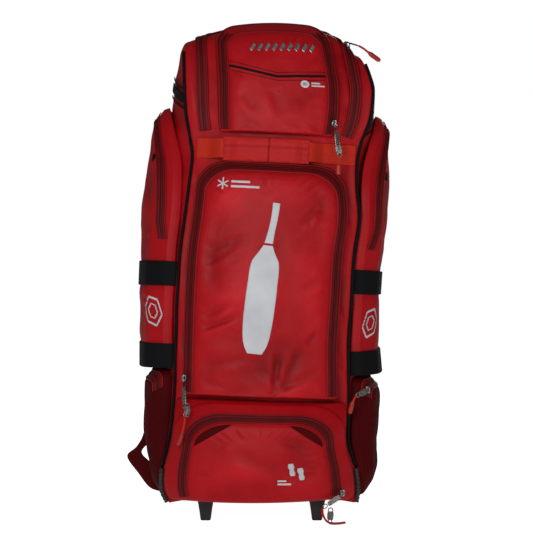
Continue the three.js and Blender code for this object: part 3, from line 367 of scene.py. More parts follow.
def wall_point(turn, up):
    """A place on the wall in millimetres. Front x runs from left to right edge, y is the front depth plus
    a bulge of 1 - across^2, and z is the share of the height plus the crown, arch, drop and slump."""
    turn, up = np.broadcast_arrays(np.asarray(turn, float), np.asarray(up, float))
    at = {name: column(name, up) for name in COLUMNS[1:]}
    left, right = -at["left"] * BAG["half"], at["right"] * BAG["half"]
    far_left, far_right = -at["side_left"] * BAG["half"], at["side_right"] * BAG["half"]
    front, back = at["front"] * BAG["front"], at["back"] * BAG["back"]
    side = np.floor(turn).astype(int) % 4
    t = turn - np.floor(turn)
    back_left, back_right = lerp(left, far_left, 0.5), lerp(right, far_right, 0.5)
    across = np.choose(side, [2 * t - 1, np.ones_like(t), 1 - 2 * t, -np.ones_like(t)])
    x = np.choose(side, [lerp(left, right, t), lerp(right, far_right, side_swell(t)),
                         lerp(back_right, back_left, t), lerp(left, far_left, side_swell(1 - t))])
    y = np.choose(side, [-front - BAG["bulge"] * (1 - across**2) * smooth(up, -0.1, 0.05),
                         lerp(-front, back, t), back + BAG["back_swell"] * (1 - across**2),
                         lerp(back, -front, t)])
    z = BAG["lift"] + up * BAG["height"] + BAG["crown"] * (1 - across**2) * smooth(up, 0.9, 1)
    z += BAG["arch"] * (1 - across**6) * (1 - smooth(up, 0, 0.06))
    z -= BAG["drop"] * smooth(across, 0.66, 1) * smooth(up, 0.88, 1)
    z -= BAG["slump"] * across * smooth(up, 0.1, 0.3) * (1 - smooth(up, 0.9, 1))
    return np.stack([x, y, z], -1)


def patch(side, t, up):
    """A place on one wall: t runs from left to right on the front, and from front to back on the sides."""
    t = np.clip(t, 0.00001, 0.99999)
    turn = {"front": t, "right": 1 + t, "back": 2 + t, "left": 4 - t}[side]
    return wall_point(turn, up)


def unit(v):
    """Vectors over their own lengths: v / |v|."""
    return v / np.maximum(np.linalg.norm(v, axis=-1, keepdims=True), 1e-9)


def outward(side, t, up):
    """The outward direction of a wall: the cross product of its two slopes, turned away from the middle."""
    step = 0.004
    across = patch(side, t + step, up) - patch(side, t - step, up)
    rise = patch(side, t, up + step) - patch(side, t, up - step)
    normal = unit(np.cross(across, rise))
    away = patch(side, t, up) - np.array([0, 20, 0])
    away[..., 2] = np.where(np.broadcast_to(up, away.shape[:-1]) > 0.97, 60, 0)
    flip = np.sum(normal * away, -1, keepdims=True) < 0
    return np.where(flip, -normal, normal)


width = np.ptp(wall_point([0, 0.9999], 0.45)[:, 0])
print("the wall's front is", round(float(width)), "mm wide at mid-height")

# %% [markdown]
# Full cloth is never smooth. Three things make its relief: long soft waves, thin ridges where it crumples,
# and single creases that pull from a seam. The waves are sums of sines in random directions from a seeded
# generator, so they are the same in each run. The ridges are where such a sum passes through zero.

# %% Folds of cloth


def waves(x, z, seed, length, stretch=1.0, count=9):
    """Sum of sines with random directions and phases: sum(sin(k.p + phase)) / sqrt(count / 2)."""
    generator = np.random.default_rng(seed)
    angle = generator.uniform(0, np.pi, count)
    size = 2 * np.pi / (length * generator.uniform(0.7, 1.4, count))
    phase = generator.uniform(0, 2 * np.pi, count)
    total = np.zeros(np.shape(x))
    for a, k, p in zip(angle, size, phase):
        total += np.sin(k * (np.cos(a) * x * stretch + np.sin(a) * z) + p)
    return total / np.sqrt(count / 2)


def crumple(x, z, seed, length, stretch=1.0):
    """Thin ridges: 0.6 - |waves|, softened so that the ridge has a small round top."""
    value = waves(x, z, seed, length, stretch)
    return 0.6 - np.sqrt(value**2 + 0.02)


def creases(x, z, table):
    """Creases from (x1, z1) to (x2, z2): a valley exp(-s^2) with a raised lip beside it, s being the
    distance across over the width. Each fades out at its ends."""
    total = np.zeros(np.shape(x))
    for x1, z1, x2, z2, width, depth in table:
        length = np.hypot(x2 - x1, z2 - z1)
        along = ((x - x1) * (x2 - x1) + (z - z1) * (z2 - z1)) / length**2
        across = ((x - x1) * (z2 - z1) - (z - z1) * (x2 - x1)) / length / width
        fade = smooth(along, -0.1, 0.3) * (1 - smooth(along, 0.7, 1.1))
        total += depth * fade * (0.6 * np.exp(-(across - 1.4)**2) - np.exp(-across**2))
    return total


def relief(x, z, seed, soft=1.0, ridge=1.0, table=(), stretch=1.0):
    """Soft waves of 170 and 70 mm, ridges of 150 and 60 mm, and the table's creases, in millimetres."""
    swell = 1.5 * waves(x, z, seed, 170) + 0.35 * waves(x, z, seed + 1, 70, stretch)
    ridges = 1.1 * crumple(x, z, seed + 2, 150, stretch) + 0.3 * crumple(x, z, seed + 3, 60, stretch)
    return soft * swell + ridge * ridges + creases(x, z, table)


sample = relief(*np.meshgrid(np.linspace(-150, 150, 60), np.linspace(0, 900, 180)), 20)
print("folds rise and fall by", round(float(np.ptp(sample)), 1), "mm")

# %% [markdown]
# A grid of points becomes a mesh with foreach_set, which copies whole arrays. Each vertex also carries
# its place on the cloth as a UV map in metres, and any shade or stripe as an attribute.

# %% From a grid to a piece


def grid_faces(rows, columns, wrap):
    """Quads of a grid: (a, a + 1, a + 1 + columns, a + columns), the last column joined to the first."""
    row, i = np.meshgrid(np.arange(rows - 1), np.arange(columns if wrap else columns - 1), indexing="ij")
    a = (row * columns + i).ravel()
    b = (row * columns + (i + 1) % columns).ravel()
    return np.stack([a, b, b + columns, a + columns], -1)


def outside(points, faces):
    """Faces turned so that the volume that they enclose, the sum of a.(b x c) / 3, is positive."""
    a, b, c = (points[faces[:, k]] for k in (0, 1, 2))
    return faces[:, ::-1] if np.sum(a * np.cross(b, c)) < 0 else faces


def ring_faces(rows, columns):
    """Quads of a grid whose last row and last column are both joined to the first."""
    row, i = np.meshgrid(np.arange(rows), np.arange(columns), indexing="ij")
    next_row, next_i = (row + 1) % rows * columns, (i + 1) % columns
    corners = (row * columns + i, row * columns + next_i, next_row + next_i, next_row + i)
    return np.stack([corner.ravel() for corner in corners], -1)


def mesh_piece(name, points, faces, material, replaces=(), body="bag", uv=None, shades=None):
    """Makes the object, gives it its material and slot, and lets it ride on its body."""
    mesh = bpy.data.meshes.new(name)
    flat = to_frame(points.reshape(-1, 3))
    mesh.vertices.add(len(flat))
    mesh.vertices.foreach_set("co", flat.ravel())
    size = faces.shape[1]
    mesh.loops.add(faces.size)
    mesh.loops.foreach_set("vertex_index", faces.ravel().astype(np.int32))
    mesh.polygons.add(len(faces))
    mesh.polygons.foreach_set("loop_start", np.arange(0, faces.size, size, dtype=np.int32))
    mesh.update(calc_edges=True)
    mesh.polygons.foreach_set("use_smooth", np.full(len(faces), True))
    if uv is not None:
        layer = mesh.uv_layers.new(name="UVMap")
        layer.data.foreach_set("uv", (uv.reshape(-1, 2)[faces.ravel()] * MM).astype(np.float32).ravel())
    for key, values in (shades or {}).items():
        attribute = mesh.attributes.new(key, "FLOAT", "POINT")
        attribute.data.foreach_set("value", values.ravel().astype(np.float32))
    mesh.materials.append(material)
    piece = bpy.data.objects.new(name, mesh)
    bpy.context.scene.collection.objects.link(piece)
    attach(piece, body)
    if replaces:
        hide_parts(*replaces)
    return piece


def cloth_thickness(piece, thickness_mm=1.2):
    """Gives a sheet its thickness, inwards."""
    modifier = piece.modifiers.new("thickness", "SOLIDIFY")
    modifier.thickness = thickness_mm * MM
    modifier.offset = -1
    return piece


def facing(points, faces, away):
    """Faces of an open sheet, turned so that the mean of their normals looks along away."""
    a, b, c = (points[faces[:, k]] for k in (0, 1, 2))
    return faces[:, ::-1] if np.sum(np.cross(b - a, c - a) @ np.asarray(away, float)) < 0 else faces


def lengths(points, axis):
    """Running length along one axis of a grid, in millimetres."""
    steps = np.linalg.norm(np.diff(points, axis=axis), axis=-1)
    pad = [(0, 0)] * (points.ndim - 1)
    pad[axis] = (1, 0)
    return np.pad(np.cumsum(steps, axis=axis), pad)


DEEP_FOLD = 4.2


def shade_of(height):
    """The painted shade attribute from a relief in millimetres: 0.5 on the level, darker in a valley and
    lighter on a ridge.
    """
    return np.clip(0.5 + 0.22 * height / DEEP_FOLD, 0.05, 0.95)


print("a grid of 4 by 5 points has", len(grid_faces(4, 5, False)), "faces, and as a closed ring",
      len(ring_faces(4, 5)))

# %% [markdown]
# The body is four panels that meet at the corners, where piping covers the seam. Each runs on over the
# top to the middle, and under the bag to the middle of its base. Rows are spaced evenly along the cloth.

# %% The body's panels


def even_ups(side, count):
    """Shares of the height whose rows lie evenly along the middle line of a wall."""
    fine = np.linspace(0, 1, 3000)
    run = lengths(patch(side, np.full(3000, 0.5), fine), 0)
    return np.interp(np.linspace(0, run[-1], count), run, fine)


FRONT_CREASES = [
    (-150, 560, -128, 470, 9, 2.2), (-158, 420, -140, 330, 8, 2.4), (-162, 350, -150, 290, 7, 2.0),
    (150, 330, 168, 250, 7, 3.0), (142, 300, 172, 280, 6, 2.6), (146, 262, 176, 240, 6, 2.4),
    (150, 420, 166, 360, 7, 2.4), (166, 200, 176, 140, 8, 2.6), (150, 610, 172, 560, 9, 2.2),
    (-150, 668, -120, 640, 9, 2.6), (-140, 870, -134, 790, 6, 2.0), (164, 860, 178, 800, 7, 2.2)]
PANEL_ROWS = {"front": 200, "right": 160, "back": 130, "left": 160}
PANEL_COLUMNS = {"front": 170, "right": 120, "back": 130, "left": 120}
BASE_ROWS, TOP_ROWS = 24, 20
OUT = {"front": (0, -1, 0), "right": (1, 0, 0), "back": (0, 1, 0), "left": (-1, 0, 0)}
WELL_HALF, WELL_FRONT, WELL_TOP = 25.2, 74, 98


def panel(side, seed):
    """One wall of the body: the wall's points, moved inwards by the relief, which fades at the edges. Lids
    run from its first and last rows to the middle: middle + (row - middle) s, and s^1.7 for the height."""
    up = even_ups(side, PANEL_ROWS[side])[:, None]
    t = np.linspace(0, 1, PANEL_COLUMNS[side])[None, :]
    points = patch(side, t, up)
    normal = outward(side, np.clip(t, 0.005, 0.995), np.clip(up, 0.004, 0.996))
    flat = points[..., 0] if side in ("front", "back") else points[..., 1]
    height = relief(flat, points[..., 2], seed, 0.9, 1.3, FRONT_CREASES if side == "front" else (), 0.7)
    edge = smooth(np.minimum(t, 1 - t), 0, 0.05) * smooth(up, 0, 0.03) * (1 - smooth(up, 0.95, 1))
    height = np.minimum(height - 1.6, 0.5) * edge
    points = points + normal * height[..., None]
    top, base = points[-1], points[0]
    lids = []
    for ring, level, steps in ((base, 0.0, BASE_ROWS), (top, 1.0, TOP_ROWS)):
        centre = wall_point(np.linspace(0, 4, 200, endpoint=False), level).mean(0)
        share = np.linspace(1, 0, steps + 1)[:, None, None]
        lids.append(centre + (ring - centre) * share ** np.array([1, 1, 1.7]))
    points = np.concatenate([lids[0][::-1][:-1], points, lids[1][1:]])
    # Painted shade: darker in the relief's valleys, and darker on the base under the bag than on the top
    shade = np.concatenate([np.full((BASE_ROWS, t.size), 0.4), shade_of(height + 1.2),
                            np.full((TOP_ROWS, t.size), 0.5)])
    uv = np.stack([lengths(points, 1), lengths(points, 0)], -1)
    faces = grid_faces(points.shape[0], points.shape[1], False)
    flat_points = points.reshape(-1, 3)
    faces = facing(flat_points, faces, OUT[side])
    centre = flat_points[faces].mean(1)
    for x in WHEEL_X.values():
        well = np.abs(centre[:, 0] - x) < WELL_HALF
        well = well & (centre[:, 1] > WELL_FRONT) & (centre[:, 2] < WELL_TOP)
        faces, centre = faces[~well], centre[~well]
    piece = mesh_piece("body_" + side, points, faces, red_polyester,
                       ("main_body",), uv=uv, shades={"fold_shade": shade})
    return cloth_thickness(piece)


for number, side in enumerate(PANEL_ROWS):
    piece = panel(side, 20 + 10 * number)
    print(piece.name, len(piece.data.polygons), "faces")

# %% [markdown]
# A pocket is sewn on round its edge, rises over a sloping gusset that carries the zip, and ends in a
# bowed face. Its grid runs round the outline and inwards in rings, so seams and zips follow grid lines.

# %% Pocket outlines
POCKETS = {
    "helmet": dict(side="front", across=(0.172, 0.172, 0.838, 0.806), up=(0.787, 0.9925), rise=32, gusset=32,
                   seat=0.6, taper=-0.3, zip=(0.04, 0.96), low=0.14, rates=(1.15, 1.0),
                   corners=((10, 10), (40, 30), (10, 10), (40, 30))),
    "cool": dict(side="front", across=(0.042, 0.04, 0.938, 0.938), up=(0.229, 0.727), rise=40, gusset=34,
                 seat=0.96, taper=-0.1, zip=(0.04, 0.96), low=0.12, rates=(1.12, 0.95),
                 corners=((10, 8), (62, 50), (10, 8), (62, 50))),
    "shoe": dict(side="front", across=(0.012, 0.012, 0.988, 0.988), up=(0.012, 0.222), rise=56, gusset=56,
                 seat=0.96, taper=-0.12, zip=(0.5, 0.98), low=0.3,
                 rates=(1.2, 0.82), corners=((8, 8), (10, 10), (8, 8), (10, 10)),
                 inner=((8, 8), (74, 52), (8, 8), (74, 52))),
    "side": dict(across=(0.045, 0.045, 0.82, 0.82), up=(0.285, 0.848), rise=40, gusset=34,
                 seat=0.96, taper=-0.3, zip=(0.04, 0.96), low=1.0,
                 corners=((30, 30), (40, 40), (30, 30), (120, 250))),
    "lower": dict(across=(0.045, 0.045, 0.82, 0.82), up=(0.012, 0.276), rise=32, gusset=30,
                  seat=0.6, taper=0.2, zip=(0.04, 0.96), low=1.0,
                  corners=((30, 40), (20, 16), (30, 40), (20, 16))),
}
CLOTH = 2.5
# Points on each stretch of half an outline: bottom, lower corner, side, upper corner and top
HALF_COUNTS = (36, 22, 110, 30, 42)
BAND_LEVELS = {"upper": 0.482, "lower": 0.306}
BAND_REACH = 0.034


def pocket_patch(spec, a, b):
    """A place on the wall from pocket shares: a across and b up, each from -1 to 1."""
    t = (b + 1) / 2
    low_left, high_left, low_right, high_right = spec["across"]
    u = lerp(lerp(low_left, high_left, t), lerp(low_right, high_right, t), (a + 1) / 2)
    return u, lerp(spec["up"][0], spec["up"][1], t)


def pocket_size(spec):
    """Width across a pocket's middle and height along its middle line, in millimetres."""
    a = patch(spec["side"], *pocket_patch(spec, np.array([-1.0, 1.0]), np.zeros(2)))
    line = patch(spec["side"], *pocket_patch(spec, np.zeros(13), np.linspace(-1, 1, 13)))
    return np.linalg.norm(a[1] - a[0]), lengths(line, 0)[-1]


def inset_at(spec, size, a, b):
    """Inset of a place: its distances from the sides, top and bottom, each over its own rate, the least
    of them."""
    wide, high = spec.get("rates", (1.0, 1.0))
    return np.minimum((1 - np.abs(a)) * size[0] / wide,
                      np.minimum((1 - b) / high, (1 + b) / spec["low"]) * size[1]) / 2


def half_outline(spec, size, inset, corners):
    """Half of a rounded rectangle, from the middle of its bottom to the middle of its top: a straight,
    an elliptic arc, a straight side, an arc and a straight, each with its own number of points."""
    width, height = size
    wide, high = spec.get("rates", (1.0, 1.0))
    half_w, half_h = width / 2 - inset * wide, height / 2 - inset * high
    depth = height / 2 - inset * spec["low"]
    fit = [(np.clip(x - 0.3 * inset, 4, 0.85 * half_w), np.clip(z - 0.3 * inset, 4, 0.9 * half_h))
           for x, z in corners]
    (bx, bz), (tx, tz) = fit
    n1, n2, n3, n4, n5 = HALF_COUNTS
    s = np.arange(n1) / n1
    bottom = np.stack([s * (half_w - bx), np.full(n1, -depth)], -1)
    angle = np.arange(n2) / n2 * np.pi / 2
    low = np.stack([half_w - bx + bx * np.sin(angle), -depth + bz - bz * np.cos(angle)], -1)
    s = np.arange(n3) / n3
    side = np.stack([np.full(n3, half_w), lerp(-depth + bz, half_h - tz, s)], -1)
    angle = np.arange(n4) / n4 * np.pi / 2
    high = np.stack([half_w - tx + tx * np.cos(angle), half_h - tz + tz * np.sin(angle)], -1)
    s = np.arange(n5 + 1) / n5
    top = np.stack([(1 - s) * (half_w - tx), np.full(n5 + 1, half_h)], -1)
    return np.concatenate([bottom, low, side, high, top])


def outline(spec, size, inset):
    """The whole outline: the right (or rear) half, then the left (or front) half run back."""
    corners = spec.get("inner", spec["corners"]) if inset > 0.05 * spec["gusset"] else spec["corners"]
    right = half_outline(spec, size, inset, corners[:2])
    left = half_outline(spec, size, inset, corners[2:])[::-1] * [-1, 1]
    points = np.concatenate([right[:-1], left[:-1]])
    return points / [size[0] / 2, size[1] / 2]


def face_height(spec, inset, a, b):
    """Height over the seam: up a steep lip, along the gusset, round its edge, then a bow of
    0.08 (1 - a^2)(1 - b^2) over the face."""
    places = np.array([-60, 0, 0.05, 0.14, 0.48, 0.82, 0.92, 1.04, 1.2, 1.4, 99]) * spec["gusset"]
    heights = np.array([0, 0, 0.2, 0.42, 0.66, 0.9, 0.955, 0.985, 1.0, 1.0, 1.0])
    bow = 0.08 * (1 - a**2) * (1 - b**2) * smooth(inset, spec["gusset"], 2.2 * spec["gusset"])
    return spec["rise"] * (np.interp(inset, places, heights) + bow)


def ring_shares(spec, size, rings):
    """Shares (a, b) of each ring: insets up to 1.5 gussets, then the last ring shrunk to its middle."""
    steps = np.array([0, 0.05, 0.14, 0.48, 0.82, 1.0, 1.2, 1.5]) * spec["gusset"]
    counts = [4, 4, 7, 7, 5, 6, 5]
    s = np.concatenate([np.arange(n) / n + i for i, n in enumerate(counts)] + [[len(counts)]])
    insets = np.interp(s, np.arange(len(steps)), steps)
    shares = np.stack([outline(spec, size, inset) for inset in insets])
    centre = (shares[-1].max(0) + shares[-1].min(0)) / 2
    scale = np.linspace(1, 0.004, rings - len(insets) + 1)[1:, None, None]
    inner = centre + (shares[-1] - centre) * scale
    return insets, np.concatenate([shares, inner])


def taper_at(spec, b):
    """The rise changes towards the top by taper b^2, and towards the bottom by slim |b|^1.5."""
    return 1 + spec["taper"] * np.maximum(b, 0) ** 2 + spec.get("slim", 0) * np.maximum(-b, 0) ** 1.5


def held_down(folds, up):
    """On the sides each band presses the cloth flat, by exp(-((up - level) / reach)^4), and 2 mm in."""
    press = sum(np.exp(-((up - level) / BAND_REACH) ** 4) for level in BAND_LEVELS.values())
    press = np.minimum(press, 1)
    return folds * (1 - press) - 2.0 * press


def pocket_rings(spec, rings, seed, table=(), soft=1.0, ridge=1.0):
    """Points of the whole pocket: each ring's outline on the wall, moved out by its height. The relief
    grows from the seam inwards, and small puckers run across the edge of the face."""
    size = pocket_size(spec)
    insets, shares = ring_shares(spec, size, rings)
    a, b = shares[..., 0], shares[..., 1]
    u, up = pocket_patch(spec, a, b)
    base = patch(spec["side"], u, up)
    normal = outward(spec["side"], u, up)
    flat = base[..., 0] if spec["side"] == "front" else base[..., 1]
    straight = inset_at(spec, size, a, b)
    inset = np.where((np.arange(rings) < len(insets))[:, None],
                     np.pad(insets, (0, rings - len(insets)))[:, None], np.maximum(straight, insets[-1]))
    gusset = spec["gusset"]
    height = spec["seat"] + CLOTH + face_height(spec, inset, a, b) * taper_at(spec, b)
    inner = smooth(inset, 0.85 * gusset, 1.6 * gusset)
    run = lengths(base[8:9], 1)
    pucker = np.exp(-((inset - 1.2 * gusset) / 9) ** 2) * (inset > 0.9 * gusset)
    puckers = pucker * 0.5 * waves(run + 0 * inset, 0 * inset, seed + 7, 24) * (
        0.5 + 0.5 * waves(run + 0 * inset, 0 * inset, seed + 8, 160))
    folds = relief(flat, base[..., 2], seed, soft, ridge, table) * inner + puckers
    if spec["side"] != "front":
        folds = held_down(folds, up)
    points = base + normal * (height + folds)[..., None]
    return dict(points=points, folds=folds, normal=normal, size=size, insets=insets, spec=spec, seed=seed,
                table=table, soft=soft, ridge=ridge, shares=shares)


def pocket_piece(name, form, material, node):
    """The pocket as one sheet of rings, drawn together at its middle."""
    points, folds = form["points"], form["folds"]
    rows, columns = points.shape[:2]
    faces = grid_faces(rows, columns, True)
    away = form["normal"].reshape(-1, 3).mean(0)
    faces = facing(points.reshape(-1, 3), faces, away)
    flat = points[..., 0] if form["spec"]["side"] == "front" else points[..., 1]
    uv = np.stack([flat, points[..., 2]], -1)
    # Painted shade in the pocket's creases and painted light on its ridges
    piece = mesh_piece(name, points, faces, material, (node,), uv=uv,
                       shades={"fold_shade": shade_of(folds + 0.3)})
    return cloth_thickness(piece, 0.9)


# %% [markdown]
# A zip lies on the gusset: two flaps of tape with the closed teeth between them. Its cross section is a
# short table of heights, carried along the pocket's outline.

# %% Zips on the pockets
ZIP_W = np.array([0, 0.03, 0.08, 0.115, 0.14, 0.18, 0.28, 0.36, 0.39, 0.42, 0.46, 0.5,
                  0.54, 0.58, 0.61, 0.64, 0.72, 0.82, 0.86, 0.885, 0.92, 0.97, 1.0])
ZIP_H = np.array([0, 1.3, 1.9, 1.2, 0.1, 0.5, 0.7, 0.5, -0.2, 0.8, 1.3, 1.1,
                  1.3, 0.8, -0.2, 0.5, 0.7, 0.5, 0.1, 1.2, 1.9, 1.3, 0])
ZIP_SEAT, TAPE = 0.5, 0.35


def strip(name, middle_low, middle_high, normal, profile, thickness, material, nodes=(), body="bag"):
    """A closed strip between two lines: points = lerp(low, high, w) + normal * h, over the profile's
    (w, h), with a flat underside, and shut at both ends."""
    w, h = profile
    start, width = middle_low[:, None], (middle_high - middle_low)[:, None]
    upper = start + width * w[:, None] + normal[:, None] * h[:, None]
    lower = start + width * w[::-1, None] - normal[:, None] * thickness
    ring = np.concatenate([upper, lower], 1)
    rows, columns = ring.shape[:2]
    faces = grid_faces(rows, columns, True)
    i = np.arange(len(w) - 1)
    cap = np.stack([i, i + 1, columns - 2 - i, columns - 1 - i], -1)
    faces = np.concatenate([faces, cap[:, ::-1], cap + (rows - 1) * columns])
    run = lengths(ring[:, :1], 0)
    across = np.concatenate([w, w[::-1]])[None, :] * np.ones((rows, 1))
    uv = np.stack([across * np.linalg.norm(width, axis=-1), run * np.ones((1, columns))], -1)
    points = ring.reshape(-1, 3)
    return mesh_piece(name, points, outside(points, faces), material, nodes, body, uv,
                      {"across": across, "fold_shade": np.full(across.shape, 0.55)})


def inset_points(form, index, inset):
    """Points of the pocket at given insets, between its rings: lerp(ring r, ring r + 1, share)."""
    rows = np.interp(inset, form["insets"], np.arange(len(form["insets"])))
    r = np.minimum(rows.astype(int), len(form["insets"]) - 2)
    return lerp(form["points"][r, index], form["points"][r + 1, index], (rows - r)[:, None])


def pocket_zip(name, form, start, stop, node, drift=None):
    """The zip between two of the outline's points. A drift moves it across the gusset as it goes: the
    insets of its two edges are then looked up between the rings."""
    spec = form["spec"]
    near, far = spec["zip"]
    low_row, high_row = (np.argmin(np.abs(form["insets"] - share * spec["gusset"])) for share in (0.14, 0.82))
    index = np.arange(start, stop + 1) % form["points"].shape[1]
    p, q = form["points"][low_row][index], form["points"][high_row][index]
    low, high = lerp(p, q, near), lerp(p, q, far)
    if drift is not None:
        share = np.linspace(0, 1, len(index))
        low, high = (inset_points(form, index, np.interp(share, drift[0], insets) * spec["gusset"])
                     for insets in drift[1:])
    along = unit(np.gradient(low, axis=0))
    normal = unit(np.cross(high - low, along))
    normal = normal * np.sign(np.sum(normal * form["normal"][low_row][index], -1, keepdims=True))
    lift = normal * (ZIP_SEAT + TAPE)
    return strip(name, low + lift, high + lift, normal, (ZIP_W, ZIP_H), TAPE, zip_tape, (node,))


COOL_CREASES = [
    (-132, 366, -50, 398, 7, 3.2), (-128, 384, -60, 424, 9, 2.2), (-106, 521, -42, 548, 8, 1.8),
    (-112, 494, -46, 536, 7, 1.6), (20, 330, 12, 242, 7, 3.4), (62, 340, 26, 250, 9, 3.0),
    (3, 248, 100, 292, 8, 2.4), (96, 372, 68, 342, 8, 2.6), (112, 396, 96, 348, 7, 2.6),
    (118, 480, 100, 430, 8, 2.0), (62, 574, 92, 604, 6, 2.2), (74, 566, 84, 590, 5, 1.6),
    (36, 532, -20, 520, 10, 1.4), (-110, 300, -30, 318, 10, 1.6), (96, 310, 130, 330, 7, 2.2),
    (-122, 270, -70, 262, 8, 1.6), (60, 450, 110, 470, 10, 1.4), (-20, 296, 40, 262, 8, 1.6)]
SHOE_CREASES = [
    (-140, 178, -96, 196, 12, 2.2), (-60, 140, 30, 100, 16, 3.0), (82, 96, 112, 128, 7, 2.4),
    (60, 84, 104, 112, 8, 2.0), (-120, 66, -30, 60, 9, 2.2), (-150, 110, -100, 84, 10, 2.0),
    (20, 170, 80, 150, 14, 2.0), (-80, 190, -20, 170, 14, 1.6), (90, 150, 120, 170, 7, 2.0),
    (-40, 52, 60, 58, 7, 1.8)]
HELMET_CREASES = [
    (-50, 828, -14, 790, 10, 1.6), (10, 830, 30, 776, 12, 1.8), (60, 800, 84, 832, 10, 1.4),
    (-44, 770, -10, 760, 8, 1.2), (30, 770, 70, 766, 8, 1.2)]
LOWER_CREASES = [(-60, 250, -20, 200, 12, 2.0), (-40, 150, 10, 90, 14, 2.4), (20, 240, 60, 180, 12, 2.2),
                 (40, 120, 90, 80, 12, 2.2)]

forms = {
    "helmet": pocket_rings(POCKETS["helmet"], 80, 101, HELMET_CREASES, 0.7, 0.8),
    "cool": pocket_rings(POCKETS["cool"], 90, 131, COOL_CREASES, 0.9, 1.1),
    "shoe": pocket_rings(POCKETS["shoe"], 80, 161, SHOE_CREASES, 1.2, 0.9),
}
for side, seed in (("left", 201), ("right", 231)):
    forms["side_" + side] = pocket_rings(dict(POCKETS["side"], side=side), 62, seed, (), 0.9, 1.0)
    narrow = dict(rise=29, slim=-0.72) if side == "left" else dict(rise=32, slim=-0.4)
    forms["lower_" + side] = pocket_rings(dict(POCKETS["lower"], side=side, **narrow), 62, seed + 15,
                                          LOWER_CREASES, 1.2, 0.9)
for name, form in forms.items():
    node = name + "_pocket" if "_" not in name else name.replace("_", "_pocket_")
    dark = name.startswith("lower")
    piece = pocket_piece("pocket_" + name, form, dark_mesh if dark else red_polyester,
                         node)
    print(piece.name, "is", " by ".join(str(round(float(size))) for size in form["size"]), "mm")

# %% [markdown]
# The three front zips run up one side, over the top and down the other side. On the side pockets the zip
# goes only round the front upper corner and slants down the slope, as there the bands are in its way.

# %% Where each zip runs
HALF = sum(HALF_COUNTS)
low_end = HALF_COUNTS[0] + HALF_COUNTS[1] - 2
corner_start, corner_stop = HALF - HALF_COUNTS[4] - HALF_COUNTS[3], HALF - HALF_COUNTS[4]
for name in ("helmet", "cool", "shoe"):
    pocket_zip("zip_" + name, forms[name], low_end, 2 * HALF - low_end, name + "_zip")
# Shares of the way along, and the insets of the zip's two edges there, as shares of the gusset
SIDE_DRIFT = ([0, 0.15, 0.4, 1], [0.3, 0.5, 0.5, 0.16], [0.75, 0.98, 0.98, 0.6])
for side in ("left", "right"):
    front_corner = 2 * HALF - corner_stop - 4
    pocket_zip("zip_side_" + side, forms["side_" + side], front_corner, front_corner + HALF_COUNTS[3] + 20,
               "side_zip_" + side, SIDE_DRIFT)
    pocket_zip("zip_lower_" + side, forms["lower_" + side], corner_start - 8, 2 * HALF - corner_start + 8,
               "lower_zip_" + side)

# %% [markdown]
# Strips that lie straight on the body's wall follow it in the same way: a path of places on the wall,
# with the width laid off square to the path.

# %% Strips on the body's wall


def wall_strip(name, side, path, width, profile, seat, thickness, material, nodes=(), lift=None):
    """A strip on a wall. The offset across the path is solved in the wall's own two slopes, so both edges
    lie on the wall: [aa ab; ab bb] [da db] = [s.a s.b]."""
    a, b = path[:, 0], path[:, 1]
    step = 0.0004
    along_a = (patch(side, a + step, b) - patch(side, a - step, b)) / (2 * step)
    along_b = (patch(side, a, b + step) - patch(side, a, b - step)) / (2 * step)
    normal = outward(side, a, b)
    line = patch(side, a, b)
    across = unit(np.cross(normal, unit(np.gradient(line, axis=0))))
    aa, ab, bb = (np.sum(p * q, -1) for p, q in ((along_a, along_a), (along_a, along_b), (along_b, along_b)))
    sa, sb = np.sum(across * along_a, -1), np.sum(across * along_b, -1)
    det = aa * bb - ab**2
    move = np.stack([(sa * bb - sb * ab) / det, (sb * aa - sa * ab) / det], -1)
    height = seat + thickness + (0 if lift is None else lift)
    edges = []
    for share in (-0.5, 0.5):
        place = path + move * (share * width)
        edges.append(patch(side, place[:, 0], place[:, 1])
                     + outward(side, place[:, 0], place[:, 1]) * np.reshape(height, (-1, 1)))
    return strip(name, edges[0], edges[1], normal, profile, thickness, material, nodes)


def main_zip_path():
    """Up the left of the front, round a corner, across the top and down the right."""
    left, right = 0.092, 0.91
    low, bend, high, corner = 0.787, 0.992, 0.9984, 0.03
    rise = even_ups("front", 400)
    rise = rise[(rise > low) & (rise < bend)]
    angle = np.linspace(0, np.pi / 2, 24)
    arc = np.stack([corner * (1 - np.cos(angle)), bend + (high - bend) * np.sin(angle)], -1)
    half = np.concatenate([np.stack([np.zeros_like(rise), rise], -1), arc])
    top = np.stack([np.linspace(left + corner, right - corner, 120)[1:-1], np.full(118, high)], -1)
    return np.concatenate([half + [left, 0], top, half[::-1] * [-1, 1] + [right, 0]])


MAIN_ZIP_WIDTH = 24
main_zip = wall_strip("zip_main", "front", main_zip_path(), MAIN_ZIP_WIDTH, (ZIP_W, ZIP_H * 0.9), 2.4, 0.6,
                      zip_tape, ("main_zip",))
print(main_zip.name, len(main_zip.data.polygons), "faces")

# Webbing's section: shares of the width, and heights with a thicker woven edge
WEB_W = np.array([0, 0.02, 0.06, 0.12, 0.5, 0.88, 0.94, 0.98, 1.0])
WEB_H = np.array([0, 0.5, 0.7, 0.55, 0.6, 0.55, 0.7, 0.5, 0])

# %% [markdown]
# Piping is a cord wrapped in a strip of cloth and caught in the seam. It is a tube: at each place on its
# line a circle is laid square to the line. A slow change of radius keeps it from looking machined.

# %% Tubes: piping and the ribbed edging


def tube_grid(line, radius, sides, guide=(0.0, 1.0, 0.0)):
    """Rings of a tube: line + r (cos p * side + sin p * other), side being guide x along."""
    along = unit(np.gradient(line, axis=0))
    side = unit(np.cross(np.broadcast_to(guide, line.shape), along))
    other = np.cross(along, side)
    angle = np.linspace(0, 2 * np.pi, sides, endpoint=False)
    r = np.broadcast_to(np.asarray(radius, float).reshape(-1, 1, 1), (len(line), 1, 1))
    around = np.cos(angle)[:, None] * side[:, None] + np.sin(angle)[:, None] * other[:, None]
    return line[:, None] + r * around


